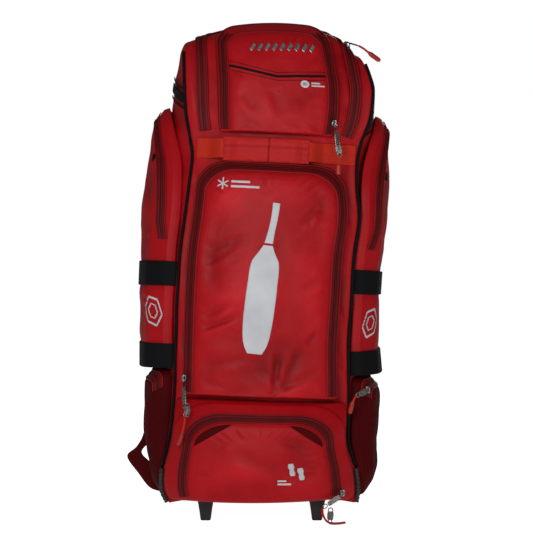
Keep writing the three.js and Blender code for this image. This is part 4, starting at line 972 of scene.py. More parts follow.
def closed_ends(rings, share):
    """Rings with one more at each end, drawn together: mean + (ring - mean) * share."""
    ends = [end.mean(1, keepdims=True) + (end - end.mean(1, keepdims=True)) * share
            for end in (rings[:1], rings[-1:])]
    return np.concatenate([ends[0], rings, ends[1]])


def tube_piece(name, line, radius, sides, material, nodes=(), body="bag", guide=(0.0, 1.0, 0.0)):
    """A tube with its ends drawn together, and its UV map running along and round it."""
    rings = closed_ends(tube_grid(line, radius, sides, guide), 0.02)
    faces = grid_faces(rings.shape[0], sides, True)
    points = rings.reshape(-1, 3)
    run = lengths(rings[:, :1], 0) * np.ones((1, sides))
    around = np.arange(sides)[None, :] / sides * 2 * np.pi * float(np.mean(radius)) * np.ones((len(rings), 1))
    return mesh_piece(name, points, outside(points, faces), material, nodes, body,
                      np.stack([around, run], -1), {"fold_shade": np.full(points.shape[0], 0.55)})


RIB_SPACING = 8.0
for side, edge in (("left", 0.0), ("right", 1.0)):
    away = unit(np.array([-1 if side == "left" else 1, -1.0, 0]))
    up = np.linspace(0.082, 0.966, 340)
    corner = patch("front", np.full(340, edge), up)
    wobble = 0.25 * waves(corner[:, 2], 0 * up, 7, 90)
    line = corner + away * (3.9 + wobble[:, None])
    radius = 3.1 + 0.12 * waves(corner[:, 2], 0 * up, 9, 30)
    tube_piece("corner_piping_" + side, line, radius, 12, black_binding, ("piping_" + side,))
    up = np.linspace(0.003, 0.075, 170)
    corner = patch("front", np.full(170, edge), up)
    run = lengths(corner, 0)
    rib = 0.5 - 0.5 * np.cos(2 * np.pi * run / RIB_SPACING)
    tube_piece("ribbed_edging_" + side, corner + away * 4.9, 4.6 - 1.1 * rib**3, 14, grey_plastic,
               ("corner_guard_" + side,))
    print(side, "corner: edging", round(float(run[-1])), "mm long, piping",
          round(float(lengths(line, 0)[-1])), "mm")

# %% [markdown]
# Webbing goes over the side pockets and holds them down. Its height over the wall follows the pocket's
# own profile, so it dips where the pocket begins and lies flat on its face.

# %% Webbing bands on the sides


def pocket_height(form, t, up):
    """Height of a pocket's face over the wall at a place given on the wall."""
    spec, size = form["spec"], form["size"]
    b = 2 * (up - spec["up"][0]) / (spec["up"][1] - spec["up"][0]) - 1
    share = np.clip((b + 1) / 2, 0, 1)
    left = lerp(spec["across"][0], spec["across"][1], share)
    right = lerp(spec["across"][2], spec["across"][3], share)
    a = 2 * (t - left) / (right - left) - 1
    inset = inset_at(spec, size, a, b)
    rise = face_height(spec, inset, np.clip(a, -1, 1), np.clip(b, -1, 1))
    return np.where(inset < -2, 0, spec["seat"] + CLOTH + rise * taper_at(spec, b))


BAND_WIDTH = 48
BAR_WIDTH, LINE_WIDTH = 17, 4
for side in ("left", "right"):
    form = forms["side_" + side]
    for name, level in BAND_LEVELS.items():
        t = np.linspace(0.03, 0.93, 150)
        lift = np.maximum(pocket_height(form, t, np.full(150, level + 0.02)),
                          pocket_height(form, t, np.full(150, level - 0.02)))
        # A weighted mean of 13 neighbours rounds the bend, and the band may sink 1.5 mm into the pocket
        kernel = np.exp(-(np.arange(-6, 7) / 3.0) ** 2)
        mean_lift = np.convolve(np.pad(lift, 6, mode="edge"), kernel / kernel.sum(), "valid")
        path = np.stack([t, np.full(150, level)], -1)
        wall_strip(f"webbing_{name}_{side}", side, path, BAND_WIDTH, (WEB_W, WEB_H * 1.6), 0.9, 1.0,
                   black_webbing, (f"band_{name}_{side}",),
                   np.maximum(mean_lift, lift - 1.5))
    reach = 0.3 if side == "left" else 0.15
    level = 0.858 if side == "left" else 0.815
    t = np.linspace(0.03, reach, 40)
    up = level + 0.13 * (t - 0.03)
    wall_strip("shoulder_bar_" + side, side, np.stack([t, up], -1), BAR_WIDTH, (WEB_W, WEB_H * 1.6), 0.3, 0.6,
               black_webbing, ("trim_" + side,))
    for number, offset in enumerate((-0.0205, 0.0205)):
        wall_strip(f"shoulder_line_{side}_{number}", side, np.stack([t, up + offset], -1), LINE_WIDTH,
                   (WEB_W, WEB_H * 1.2), 0.3, 0.5, black_webbing)
    print(side, "bands stand", round(float(lift.max())), "mm off the wall")

# %% [markdown]
# The carry handle is a webbing strap across the front, sewn down at both ends, with a padded sleeve round
# its middle. The sleeve's section is a superellipse, thinner at its ends where it is stitched flat.

# %% Carry handle
HANDLE_LEVEL, HANDLE_WIDTH = 0.752, 40


def handle_lift(u):
    """How far the handle stands off the wall: 18 mm over its middle, none where it is sewn down."""
    return 18 * smooth(u, 0.09, 0.2) * (1 - smooth(u, 0.7, 0.8))


u = np.linspace(0.03, 0.985, 260)
handle_path = np.stack([u, np.full(260, HANDLE_LEVEL)], -1)
wall_strip("handle_webbing", "front", handle_path, HANDLE_WIDTH, (WEB_W, WEB_H * 1.5), 1.0, 1.2,
           orange_webbing, ("handle_band",), handle_lift(u))


def rounded(f, power):
    """A cosine or sine as a superellipse has it: sign(f) |f|^power."""
    return np.sign(f) * np.abs(f) ** power


def sleeve():
    """The padded sleeve: (w, h) = (24 sign(c) |c|^0.5, 7.6 sign(s) |s|^0.72) round its middle line, with
    two sewn grooves along it, one across its middle, and flat ends with a stitched cross."""
    rows, sides = 200, 84
    u = np.linspace(0.2, 0.7, rows)
    line = patch("front", u, np.full(rows, HANDLE_LEVEL))
    normal = outward("front", u, np.full(rows, HANDLE_LEVEL))
    line = line + normal * (2.2 + handle_lift(u))[:, None]
    along = unit(np.gradient(line, axis=0))
    across = unit(np.cross(normal, along))
    run = lengths(line, 0)
    end = np.minimum(run, run[-1] - run)
    angle = np.linspace(0, 2 * np.pi, sides, endpoint=False)
    c, s = np.cos(angle), np.sin(angle)
    thick = 3.4 + 4.2 * smooth(end, 14, 30) - 1.6 * (1 - smooth(end, 0, 3))
    wide = 23.4 + 0.8 * smooth(end, 4, 30)
    w = wide[:, None] * rounded(c, 0.5)
    h = thick[:, None] * rounded(s, 0.72)
    groove = 1.3 * np.exp(-((w - 7) / 1.3) ** 2) + 1.1 * np.exp(-((w + 5) / 1.3) ** 2)
    middle = 1.6 * np.exp(-((run[:, None] - run[-1] * 0.53) / 1.6) ** 2)
    wrinkle = 0.35 * waves(run[:, None] + 0 * w, w, 77, 18) * smooth(end, 10, 25)[:, None]
    box = np.minimum(np.abs(np.abs(w) - 17), np.minimum(np.abs(end[:, None] - 3), np.abs(end[:, None] - 15)))
    cross = np.minimum(np.abs(np.abs(w) - 17 * np.abs(end[:, None] - 9) / 6), box)
    stitch = 0.7 * np.exp(-(cross / 0.8) ** 2) * (end[:, None] < 16) * (np.abs(w) < 18)
    h = h + np.sign(s) * (wrinkle - groove - middle - stitch) * (np.abs(s) > 0.25)
    points = line[:, None] + across[:, None] * w[..., None] + normal[:, None] * h[..., None]
    flat = closed_ends(points, 0.01).reshape(-1, 3)
    faces = grid_faces(rows + 2, sides, True)
    ends = ((1, 1), (0, 0))
    # Painted shade in the sewn grooves, the groove across the middle and the stitched lines
    shade = np.clip(0.62 - 0.25 * np.pad(groove + middle + stitch, ends), 0.05, 0.9)
    uv = np.stack([np.pad(w, ends), np.pad(run[:, None] + 0 * w, ends, mode="edge")], -1)
    piece = mesh_piece("handle_sleeve", flat, outside(flat, faces), handle_cloth,
                       ("handle_grip",), uv=uv, shades={"fold_shade": shade})
    return run[-1]


print("handle sleeve", round(float(sleeve())), "mm long")

# %% [markdown]
# The padded shoulder straps lie on the back. Each is foam in a cloth cover with a bound edge, so its
# section is a flat superellipse with a groove just inside its rim.

# %% Back: padded straps, webbing and buckles


def back_place(side, across, up):
    """A place on the back wall: its share from the middle towards one side, and its share of the height."""
    sign = 1 if side == "left" else -1
    return np.stack([0.5 + sign * across * 0.5, up], -1)


def pad_piece(side):
    """A padded strap along the back wall: (w, h) = (33 sign(c) |c|^0.55, 8.6 sign(s) |s|^0.8) round its
    middle line, less a groove inside the rim and one along the middle, and drawn in to round ends."""
    rows, sides = 220, 72
    share = np.linspace(0, 1, rows)
    bow = 0.06 * np.sin(np.pi * share)
    place = back_place(side, lerp(PAD_ACROSS, 0.26, share) - bow, lerp(PAD_FOOT, PAD_HEAD, share))
    line = patch("back", place[:, 0], place[:, 1])
    normal = outward("back", place[:, 0], place[:, 1])
    along = unit(np.gradient(line, axis=0))
    across = unit(np.cross(normal, along))
    run = lengths(line, 0)
    end = np.minimum(run, run[-1] - run)
    angle = np.linspace(0, 2 * np.pi, sides, endpoint=False)
    c, s = np.cos(angle), np.sin(angle)
    round_end = np.sqrt(np.clip(1 - (1 - np.clip(end / 26, 0, 1)) ** 2, 0.0004, 1))
    w = PAD_HALF * round_end[:, None] * rounded(c, 0.55)
    thick = 8.6 * (0.35 + 0.65 * smooth(end, 0, 20))[:, None]
    h = thick * rounded(s, 0.8)
    rim = PAD_HALF * round_end[:, None] - np.abs(w)
    groove = 1.4 * np.exp(-((rim - 7) / 1.6) ** 2)
    channel = 1.2 * np.exp(-(w / 2.0) ** 2)
    soft = 0.6 * waves(w, run[:, None] + 0 * w, 310 + (side == "left"), 60)
    h = h + np.sign(s) * (soft * smooth(rim, 6, 16) - groove - channel) * (np.abs(s) > 0.2)
    h = np.maximum(h, -8.2)
    points = line[:, None] + across[:, None] * w[..., None] + normal[:, None] * (h + 9.6)[..., None]
    faces = grid_faces(rows, sides, True)
    flat = points.reshape(-1, 3)
    uv = np.stack([w, run[:, None] + 0 * w], -1)
    # Painted shade in the groove inside the rim
    piece = mesh_piece("back_pad_" + side, flat, outside(flat, faces), pad_cloth,
                       ("shoulder_pad_" + side,), uv=uv, shades={"fold_shade": np.clip(0.6 - 0.2 * groove, 0, 1)})


def pillow(centre, axes, halves, power=(0.35, 0.35), count=(24, 40)):
    """A superellipsoid, which is a block with rounded edges: each coordinate is
    half * sign(f) * |f|^power, f being the cosines and sines of latitude and longitude."""
    lat = np.linspace(-np.pi / 2, np.pi / 2, count[0])[:, None]
    lon = np.linspace(0, 2 * np.pi, count[1], endpoint=False)[None, :]
    x = rounded(np.cos(lat), power[0]) * rounded(np.cos(lon), power[1])
    y = rounded(np.cos(lat), power[0]) * rounded(np.sin(lon), power[1])
    z = rounded(np.sin(lat), power[0]) * np.ones_like(lon)
    local = np.stack([x, y, z], -1) * np.asarray(halves)
    points = np.asarray(centre) + local @ np.asarray(axes)
    return points.reshape(-1, 3), grid_faces(count[0], count[1], True)


def ring_tube(centre, axes, halves, radius, power=0.8, count=64, sides=12):
    """A closed ring of wire: a tube along a superellipse in the plane of the first two axes."""
    angle = np.linspace(0, 2 * np.pi, count, endpoint=False)
    flat = np.stack([halves[0] * rounded(np.cos(angle), power), halves[1] * rounded(np.sin(angle), power),
                     0 * angle], -1)
    along = unit(np.roll(flat, -1, 0) - np.roll(flat, 1, 0))
    out = np.stack([along[:, 1], -along[:, 0], 0 * angle], -1)
    turn = np.linspace(0, 2 * np.pi, sides, endpoint=False)
    ring = flat[:, None] + radius * (np.cos(turn)[:, None] * out[:, None]
                                     + np.sin(turn)[:, None] * np.array([0, 0, 1.0]))
    return np.asarray(centre) + ring.reshape(-1, 3) @ np.asarray(axes), ring_faces(count, sides)


def joined(parts):
    """Several forms as one: their points in a row, and each one's faces counted on from the last one's."""
    starts = np.cumsum([0] + [len(points) for points, _ in parts[:-1]])
    faces = [faces + start for (_, faces), start in zip(parts, starts)]
    return np.concatenate([points for points, _ in parts]), np.concatenate(faces)


def joined_solids(parts):
    """Closed forms as one, each turned to face outwards."""
    return joined([(points, outside(points, faces)) for points, faces in parts])


def node_frame(node):
    """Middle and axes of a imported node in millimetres: its longest, middle and shortest directions."""
    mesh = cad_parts[node].data
    co = np.zeros(len(mesh.vertices) * 3)
    mesh.vertices.foreach_get("co", co)
    co = (co.reshape(-1, 3) - SHIFT) / MM
    centred = co - co.mean(0)
    axes = np.linalg.svd(centred, full_matrices=False)[2]
    spans = centred @ axes.T
    middle = co.mean(0) + ((spans.max(0) + spans.min(0)) / 2) @ axes
    return middle, axes, (spans.max(0) - spans.min(0)) / 2


PAD_HALF, RAIL = 33, 3.4
PAD_FOOT, PAD_HEAD, PAD_ACROSS = 0.56, 0.93, 0.36
for side in ("left", "right"):
    pad_piece(side)
    middle, axes, halves = node_frame("strap_buckle_" + side)
    bars = [pillow(middle + axes[1] * offset, axes, (halves[0], 3.2, halves[2] * 0.8), (0.4, 0.4))
            for offset in (-halves[1] + RAIL, 0, halves[1] - RAIL)]
    rails = [pillow(middle + axes[0] * offset, axes, (RAIL, halves[1], halves[2] * 0.9), (0.4, 0.4))
             for offset in (-halves[0] + RAIL, halves[0] - RAIL)]
    points, faces = joined_solids(bars + rails)
    mesh_piece("strap_slider_" + side, points, faces, black_plastic,
               ("strap_buckle_" + side,))
    print(side, "buckle at", np.round(middle).tolist())

STRAP_WIDTH, BUCKLE_DROP = 34, 44
share = np.linspace(0, 1, 160)
strap_top = PAD_FOOT - BUCKLE_DROP / BAG["height"]
place = back_place("right", lerp(PAD_ACROSS, 0.7, share), lerp(strap_top, 0.1, share))
wall_strip("strap_webbing_right", "back", place, STRAP_WIDTH, (WEB_W, WEB_H * 1.5), 0.9, 1.2, maroon_webbing,
           ("strap_web_right",))


def catmull(points, count):
    """A smooth line through points: a Catmull-Rom curve, 0.5 (2p1 + (p2 - p0) t + (2p0 - 5p1 + 4p2 - p3)
    t^2 + (3p1 - p0 - 3p2 + p3) t^3), sampled evenly in t."""
    p = np.asarray(points, float)
    p = np.concatenate([[2 * p[0] - p[1]], p, [2 * p[-1] - p[-2]]])
    s = np.linspace(0, len(p) - 3 - 1e-9, count)
    i = s.astype(int)
    t = (s - i)[:, None]
    a, b, c, d = p[i], p[i + 1], p[i + 2], p[i + 3]
    return 0.5 * (2 * b + (c - a) * t + (2 * a - 5 * b + 4 * c - d) * t**2 + (3 * b - a - 3 * c + d) * t**3)


# Both edges of the loose loop, as places; it folds over at its outermost point
LOOP_OUTER = [(-197, 168, 352), (-226, 160, 288), (-248, 150, 240), (-252, 146, 200), (-260, 138, 140),
              (-274, 130, 112), (-293, 118, 92), (-270, 122, 56), (-247, 126, 26), (-224, 130, 16)]
LOOP_INNER = [(-163, 178, 346), (-192, 176, 276), (-215, 168, 226), (-217, 164, 192), (-228, 156, 150),
              (-240, 148, 126), (-264, 134, 100), (-244, 138, 76), (-228, 142, 60), (-204, 144, 50)]
loop_start = back_place("left", PAD_ACROSS, np.array(strap_top))
start_point = patch("back", *loop_start.T) + outward("back", *loop_start.T) * 2.0
outer = catmull([start_point + [-STRAP_WIDTH / 2, 0, 0]] + LOOP_OUTER, 300)
inner = catmull([start_point + [STRAP_WIDTH / 2, 0, 0]] + LOOP_INNER, 300)
along = unit(np.gradient((outer + inner) / 2, axis=0))
strip("strap_webbing_left", outer, inner, unit(np.cross(along, inner - outer)), (WEB_W, WEB_H * 1.6), 1.0,
      maroon_webbing, ("strap_web_left",))
print("loose strap", round(float(lengths((outer + inner) / 2, 0)[-1])), "mm long")

# %% [markdown]
# The hard parts at the bottom are moulded: two tapered feet at the front, and two wheels behind. A foot
# is a stack of superellipses that flare towards the bag; a wheel is a profile turned round its axle.

# %% Feet and wheels
# Rows of height, half width and half depth in millimetres
FOOT_PROFILE = [(0, 8.6, 10.6), (0.6, 9.6, 11.6), (2, 10, 12), (8, 10.8, 12.6), (20, 12.4, 13.8),
                (32, 14.4, 15), (40, 16.6, 16), (45, 19.6, 17), (49, 23.4, 17.4), (56, 24, 17.4)]


def foot_piece(side):
    """A foot: at each height a ring (wide sign(c) |c|^0.35, deep sign(s) |s|^0.35), the half width and
    depth read from a short profile, and both ends drawn together on its axis."""
    z, wide, deep = np.array(FOOT_PROFILE).T
    rows, sides = 90, 60
    fine = np.linspace(0, 1, rows) ** 1.2 * z[-1]
    wide, deep = np.interp(fine, z, wide), np.interp(fine, z, deep)
    angle = np.linspace(0, 2 * np.pi, sides, endpoint=False)
    axis = np.array([FOOT_X[side], FOOT_Y])
    ring = np.stack([axis[0] + wide[:, None] * rounded(np.cos(angle), 0.35),
                     axis[1] + deep[:, None] * rounded(np.sin(angle), 0.35),
                     fine[:, None] * np.ones(sides)], -1)
    base, top = ring[:1].copy(), ring[-1:].copy()
    base[..., :2] = axis
    top[..., :2] = axis
    flat = np.concatenate([base, ring, top]).reshape(-1, 3)
    mesh_piece("foot_moulded_" + side, flat, outside(flat, grid_faces(rows + 2, sides, True)), black_plastic,
               ("foot_" + side,))


def turned(name, profile, centre, material, node, body, sides=96):
    """A profile of (radius, x) turned round the wheel's axle, which lies along X."""
    r, x = np.asarray(profile, float).T
    angle = np.linspace(0, 2 * np.pi, sides, endpoint=False)[:, None]
    ring = np.stack([centre[0] + x + 0 * angle, centre[1] + r * np.cos(angle), centre[2] + r * np.sin(angle)],
                    -1)
    flat = ring.reshape(-1, 3)
    return mesh_piece(name, flat, outside(flat, ring_faces(sides, len(r))), material, (node,), body)


WHEEL_RADIUS, WHEEL_Y = 40, 114
EDGE = 5
bend = np.linspace(0, np.pi / 2, 6)
inner_side = WHEEL_RADIUS - EDGE
tyre_profile = [(29.1, -13)] + [(inner_side + EDGE * np.sin(a), -8 - EDGE * np.cos(a)) for a in bend]
tyre_profile += [(40, -4), (39.2, -3.2), (39.2, -1.8), (40, -1.4)]
tyre_profile += [(40, 1.4), (39.2, 1.8), (39.2, 3.2), (40, 4)]
tyre_profile += [(inner_side + EDGE * np.cos(a), 8 + EDGE * np.sin(a)) for a in bend] + [(29.1, 13)]
half_hub = [(6.5, 12.8), (10, 12.8), (11, 12), (11.5, 7.5), (23, 6.5), (24.5, 12), (25.5, 12.8), (28.4, 12.8)]
hub_profile = [(r, -x) for r, x in half_hub] + half_hub[::-1]
for side, x in WHEEL_X.items():
    foot_piece(side)
    centre = (x, WHEEL_Y, WHEEL_RADIUS)
    turned("wheel_tyre_" + side, tyre_profile, centre, wheel_rubber, "tyre_" + side,
           "wheel_" + side)
    turned("wheel_hub_" + side, hub_profile, centre, black_plastic, "hub_" + side,
           "wheel_" + side)
    for node, material in (("wheel_housing_", black_plastic), ("tab_", black_binding)):
        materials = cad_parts[node + side].data.materials
        materials.clear()
        materials.append(material)
    print(side, "wheel of", 2 * WHEEL_RADIUS, "mm at x", x)

# %% [markdown]
# Each zip is pulled by a cast slider and one or two nickel pulls, with an orange cord and a moulded tip.
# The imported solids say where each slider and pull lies, so its middle and axes are read from them.

# %% Sliders, pulls and cords
CORD, TIP = 4.5, 26
STRAND, STRAND_TURN = 0.12, 2.4
CORD_ROUTES = {
    "cool": [(-155, -180, 204), (-157, -181, 190), (-160, -178, 176), (-164, -176, 163), (-168, -174, 150)],
    "helmet": [(139, -158, 704), (139, -158, 695), (138.5, -157, 686), (138, -156, 677), (138, -156, 668)],
    "main": [(181, -104, 923), (190, -107, 917), (199, -107, 910), (209, -104, 903), (222, -98, 895)],
    "side": [(173, -138, 242), (169.5, -141, 236), (166, -140, 228), (163, -138, 218), (161, -136, 207)],
    "shoe": [(106, -190.5, 33), (107, -192, 22), (112, -191, 11), (121, -190, 4.6), (135, -188, 3.6),
             (150, -186, 5)]}


def slider_piece(name):
    """A cast slider: a rounded body, a bridge over it for the pull, and a raised nose."""
    middle, axes, _ = node_frame(name + "_slider")
    normal = np.array([0, -1.0, 0]) if name != "main" else np.array([0.2, -0.5, 0.8])
    pick = np.argmax(np.abs(axes @ unit(normal)))
    out = axes[pick] * np.sign(axes[pick] @ unit(normal))
    rest = [axes[k] for k in range(3) if k != pick]
    long = max(rest, key=lambda v: abs(v[2]))
    long = long * np.sign(long[2] if abs(long[2]) > 1e-6 else 1)
    across = np.cross(long, out)
    base = np.array([across, long, out])
    parts = [pillow(middle - out * 0.6, base, (5.6, 7.4, 1.9), (0.45, 0.5)),
             pillow(middle + long * 4.5 + out * 0.4, base, (4.8, 2.6, 2.2), (0.6, 0.6)),
             ring_tube(middle + out * 1.2, np.array([long, out, across]), (5.2, 2.6), 1.1, 0.8, 36, 8)]
    points, faces = joined_solids(parts)
    mesh_piece("zip_slider_" + name, points, faces, nickel, (name + "_slider",))


def pull_piece(label, middle, base, long_half, material, nodes=()):
    """A pull: a flat plate with a raised rim and a wire loop at each end, long side along base[0]."""
    along = base[0]
    body = long_half * 0.56
    parts = [pillow(middle, base, (body, 5.6, 0.75), (0.3, 0.4)),
             ring_tube(middle, base, (body * 0.92, 5.2), 0.85, 0.5, 56, 8),
             ring_tube(middle + along * (long_half - 4.6), base, (4.4, 4.2), 0.95, 0.8, 40, 8),
             ring_tube(middle - along * (long_half - 4.0), base, (4.0, 3.4), 0.95, 0.8, 40, 8)]
    parts += [pillow(middle + along * (body * s), base, (0.7, 3.4, 1.2), (0.5, 0.5), (12, 20))
              for s in (-0.5, -0.25, 0, 0.25, 0.5)]
    points, faces = joined_solids(parts)
    return mesh_piece("zip_pull_" + label, points, faces, material, nodes)


for name, route in CORD_ROUTES.items():
    slider_piece(name)
    middle, axes, halves = node_frame(name + "_pull")
    along = axes[0] * np.sign(axes[0] @ (np.array(route[0]) - middle))
    base = np.array([along, axes[1], axes[2]])
    pull_piece(name, middle, base, halves[0], nickel if name != "main" else dark_nickel, (name + "_pull",))
    line = catmull(route, 40)
    length = lengths(line, 0)[-1]
    twist = STRAND * np.sin(lengths(line, 0) * 2 * np.pi / STRAND_TURN)
    guide = (1.0, 0.0, 0.2) if name in ("cool", "helmet", "side") else (0.0, 1.0, 0.1)
    cord = tube_piece("pull_cord_" + name, line, CORD / 2 - STRAND + twist, 16, orange_webbing,
                      (name + "_cord",), guide=guide)
    tip_from = int(len(line) * (1 - min(TIP / length, 0.62)))
    tip_line = line[tip_from:]
    s = np.linspace(0, 1, len(tip_line))
    tip_radius = 2.6 + 2.0 * smooth(s, 0.0, 0.3) - 1.4 * smooth(s, 0.88, 1.0)
    if name == "shoe":
        # This tip lies on the floor, so it stays slim
        tip_radius = 2.45 + 0 * s
    tip = tube_piece("pull_tip_" + name, tip_line, tip_radius, 20, cord_tip, guide=guide)
    print(name, "cord", round(float(length)), "mm long with its tip")
# Three zips have a second pull, which hangs from the first: its place, direction and half length
for label, place, toward, half in (
        ("cool_lower", (-151, -180.5, 217.5), (0.05, 0.0, 1.0), 12.5),
        ("helmet_lower", (138.5, -160, 716), (-0.2, 0.0, 1.0), 15),
        ("shoe_lower", (121, -193, 19), (0.05, 0.0, 1.0), 15)):
    along = unit(np.array(toward))
    across = unit(np.cross(along, (0, -1.0, 0)))
    base = np.array([along, across, np.cross(along, across)])
    pull_piece(label, np.array(place), base, half, dark_nickel)

# %% [markdown]
# The helmet pocket has a bent line of piping across it, between two rows of stitching. It lies on the
# pocket's face, so each point is found on the face first.

# %% Lines on the pockets' faces


def on_face(form, a, b, lift):
    """A place on a pocket's face: the wall's place, out by the pocket's height, its folds and the lift."""
    spec = form["spec"]
    u, up = pocket_patch(spec, a, b)
    base, normal = patch(spec["side"], u, up), outward(spec["side"], u, up)
    size = form["size"]
    inset = inset_at(spec, size, a, b)
    flat = base[..., 0] if spec["side"] == "front" else base[..., 1]
    folds = relief(flat, base[..., 2], form["seed"], form["soft"], form["ridge"], form["table"])
    folds = folds * smooth(inset, 0.85 * spec["gusset"], 1.6 * spec["gusset"])
    if spec["side"] != "front":
        folds = held_down(folds, up)
    height = spec["seat"] + CLOTH + face_height(spec, inset, a, b) * taper_at(spec, b) + folds + lift
    return base + normal * height[..., None], normal


s = np.linspace(0, 1, 160)
bend_a = np.interp(s, [0, 0.5, 1], [-0.74, -0.02, 0.73])
bend_b = np.interp(s, [0, 0.5, 1], [0.285, 0.1, 0.15])
for number, (offset, radius) in enumerate(((0.0, 2.3), (0.075, 0.55), (-0.075, 0.55))):
    line, _ = on_face(forms["helmet"], bend_a, bend_b + offset, radius * 0.5)
    tube_piece(f"bent_piping_{number}", line, radius, 12, black_binding,
               ("chevron_piping",) if number == 0 else (), guide=(0.0, 0.0, 1.0))
    print("bent line", number, "is", round(float(lengths(line, 0)[-1])), "mm long")

# %% [markdown]
# The prints are plain pictograms: a bat on the front and small signs on the pockets. Each is a thin skin
# of ink that follows the cloth, made from strokes whose width changes along them.

# %% Printed pictograms


def stroke(form, ends, widths, count=60, lanes=10, lift=0.45):
    """A band of ink on a face between two places (x, z) in millimetres from the face's middle: the
    centre line plus w times the half width, each point found on the cloth."""
    size = form["size"]
    (x1, z1), (x2, z2) = ends
    s = np.linspace(0, 1, count)[:, None]
    half = np.interp(s, np.linspace(0, 1, len(widths)), widths) / 2
    w = np.linspace(-1, 1, lanes)[None, :]
    run = np.hypot(x2 - x1, z2 - z1)
    nx, nz = (z2 - z1) / run, -(x2 - x1) / run
    x = lerp(x1, x2, s) + nx * half * w
    z = lerp(z1, z2, s) + nz * half * w
    points, normal = on_face(form, x / (size[0] / 2), z / (size[1] / 2), lift)
    faces = facing(points.reshape(-1, 3), grid_faces(count, lanes, False), normal.reshape(-1, 3).mean(0))
    return points.reshape(-1, 3), faces


def print_piece(name, strokes, material=print_white, thickness=0.25):
    """One sign: its strokes as one piece, with a thin layer of ink."""
    points, faces = joined(strokes)
    print(name, "has", len(strokes), "strokes")
    return cloth_thickness(mesh_piece(name, points, faces, material), thickness)


def circle(form, centre, radius, width, count=48, lift=0.45):
    """A ring of ink: centre + r (cos p, sin p), r running over the ring's width."""
    size = form["size"]
    angle = np.linspace(0, 2 * np.pi, count)[:, None]
    r = radius + np.linspace(-0.5, 0.5, 5)[None, :] * width
    points, normal = on_face(form, (centre[0] + r * np.cos(angle)) / (size[0] / 2),
                             (centre[1] + r * np.sin(angle)) / (size[1] / 2), lift)
    faces = facing(points.reshape(-1, 3), grid_faces(count, 5, False), normal.reshape(-1, 3).mean(0))
    return points.reshape(-1, 3), faces


def words(form, x, z, width, gap=9.0, height=4.2):
    """Two plain bars, one over the other, where the label's lines would be."""
    return [stroke(form, ((x, z + dz), (x + width * share, z + dz)), [height, height], 24, 4)
            for dz, share in ((gap / 2, 0.66), (-gap / 2, 1.0))]


cool = forms["cool"]
blade = catmull([(x, 0, 0) for x in (16, 30, 46, 51, 52, 52, 53, 53, 53, 53, 52, 50, 47, 40, 26)], 90)[:, 0]
print_piece("print_bat", [
    stroke(cool, ((4, 66), (-10, -142)), blade, 160, 24),
    stroke(cool, ((10, 146), (4.3, 70)), [13, 12, 12, 15], 60, 8)])
arms = [11 * np.array([np.cos(a), np.sin(a)]) for a in np.radians([30, 90, 150])]
snow = [stroke(cool, ([-88, 178] - arm, [-88, 178] + arm), [2.6, 2.6], 16, 4) for arm in arms]
print_piece("print_snowflake", snow + words(cool, -73, 178, 52))
helmet = forms["helmet"]
print_piece("print_grille", [circle(helmet, (48, -2), 6.0, 4.0)] + [
    stroke(helmet, ((41.5, -2 + k), (54.5, -2 + k)), [1.4, 1.4], 10, 4) for k in (-3, 0, 3)]
    + words(helmet, 60, -2, 24, 5.6, 3.2))
print_piece("raised_dashes", [stroke(helmet, ((-46 + 14 * k, 60), (-37 + 14 * k, 70)), [5.6, 5.6], 12, 5, 1.6)
                              for k in range(9)], print_silver, 1.2)
shoe = forms["shoe"]
print_piece("print_soles", [stroke(shoe, ((56 + dx, -48 + dz), (54 + dx, -26 + dz)), [7, 10, 7, 11, 8], 24, 6)
                            for dx, dz in ((0, 8), (15, 0))] + words(shoe, 30, -52, 22, 6, 3.0))


SLOPE_RING, SLOPE_WIDTH = 8, 44


def on_gusset(form, x_share, z):
    """A place on a side pocket's front slope: its share of the slope and its height in millimetres."""
    front = np.arange(2 * HALF - corner_start, 2 * HALF - HALF_COUNTS[0] - HALF_COUNTS[1])
    level = form["points"][SLOPE_RING, front, 2]
    index = front[np.abs(level[None] - np.reshape(z, (-1, 1))).argmin(1)]
    inset = np.interp(np.ravel(x_share), [0, 1], [0.16, 1.1]) * form["spec"]["gusset"]
    return inset_points(form, index, inset)


def gusset_stroke(form, ends, width, count=40, lift=0.6):
    """A line of ink on the slope; its width is laid off square to it in the front view."""
    (x1, z1), (x2, z2) = ends
    s = np.linspace(0, 1, count)
    x, z = lerp(x1, x2, s), lerp(z1, z2, s)
    run = np.hypot((x2 - x1) * SLOPE_WIDTH, z2 - z1)
    dx = (z2 - z1) / run * width / 2 / SLOPE_WIDTH
    dz = -(x2 - x1) * SLOPE_WIDTH / run * width / 2
    rows = np.stack([on_gusset(form, x + dx, z + dz), on_gusset(form, x - dx, z - dz)], 1)
    along = unit(np.gradient(rows.mean(1), axis=0))
    normal = unit(np.cross(rows[:, 0] - rows[:, 1], along))
    normal = normal * np.sign(-normal[:, 1:2])
    points = (rows + normal[:, None] * lift).reshape(-1, 3)
    return points, facing(points, grid_faces(count, 2, False), (0, -1, 0))


def hexagon(form, level, size, width):
    """Six strokes round a middle on the slope, at a height and of a size (1 is the full one)."""
    corners = [(0.5 + (x - 0.5) * size, level + z * size) for x, z in HEXAGON]
    return [gusset_stroke(form, ends, width) for ends in zip(corners, corners[1:] + corners[:1])]


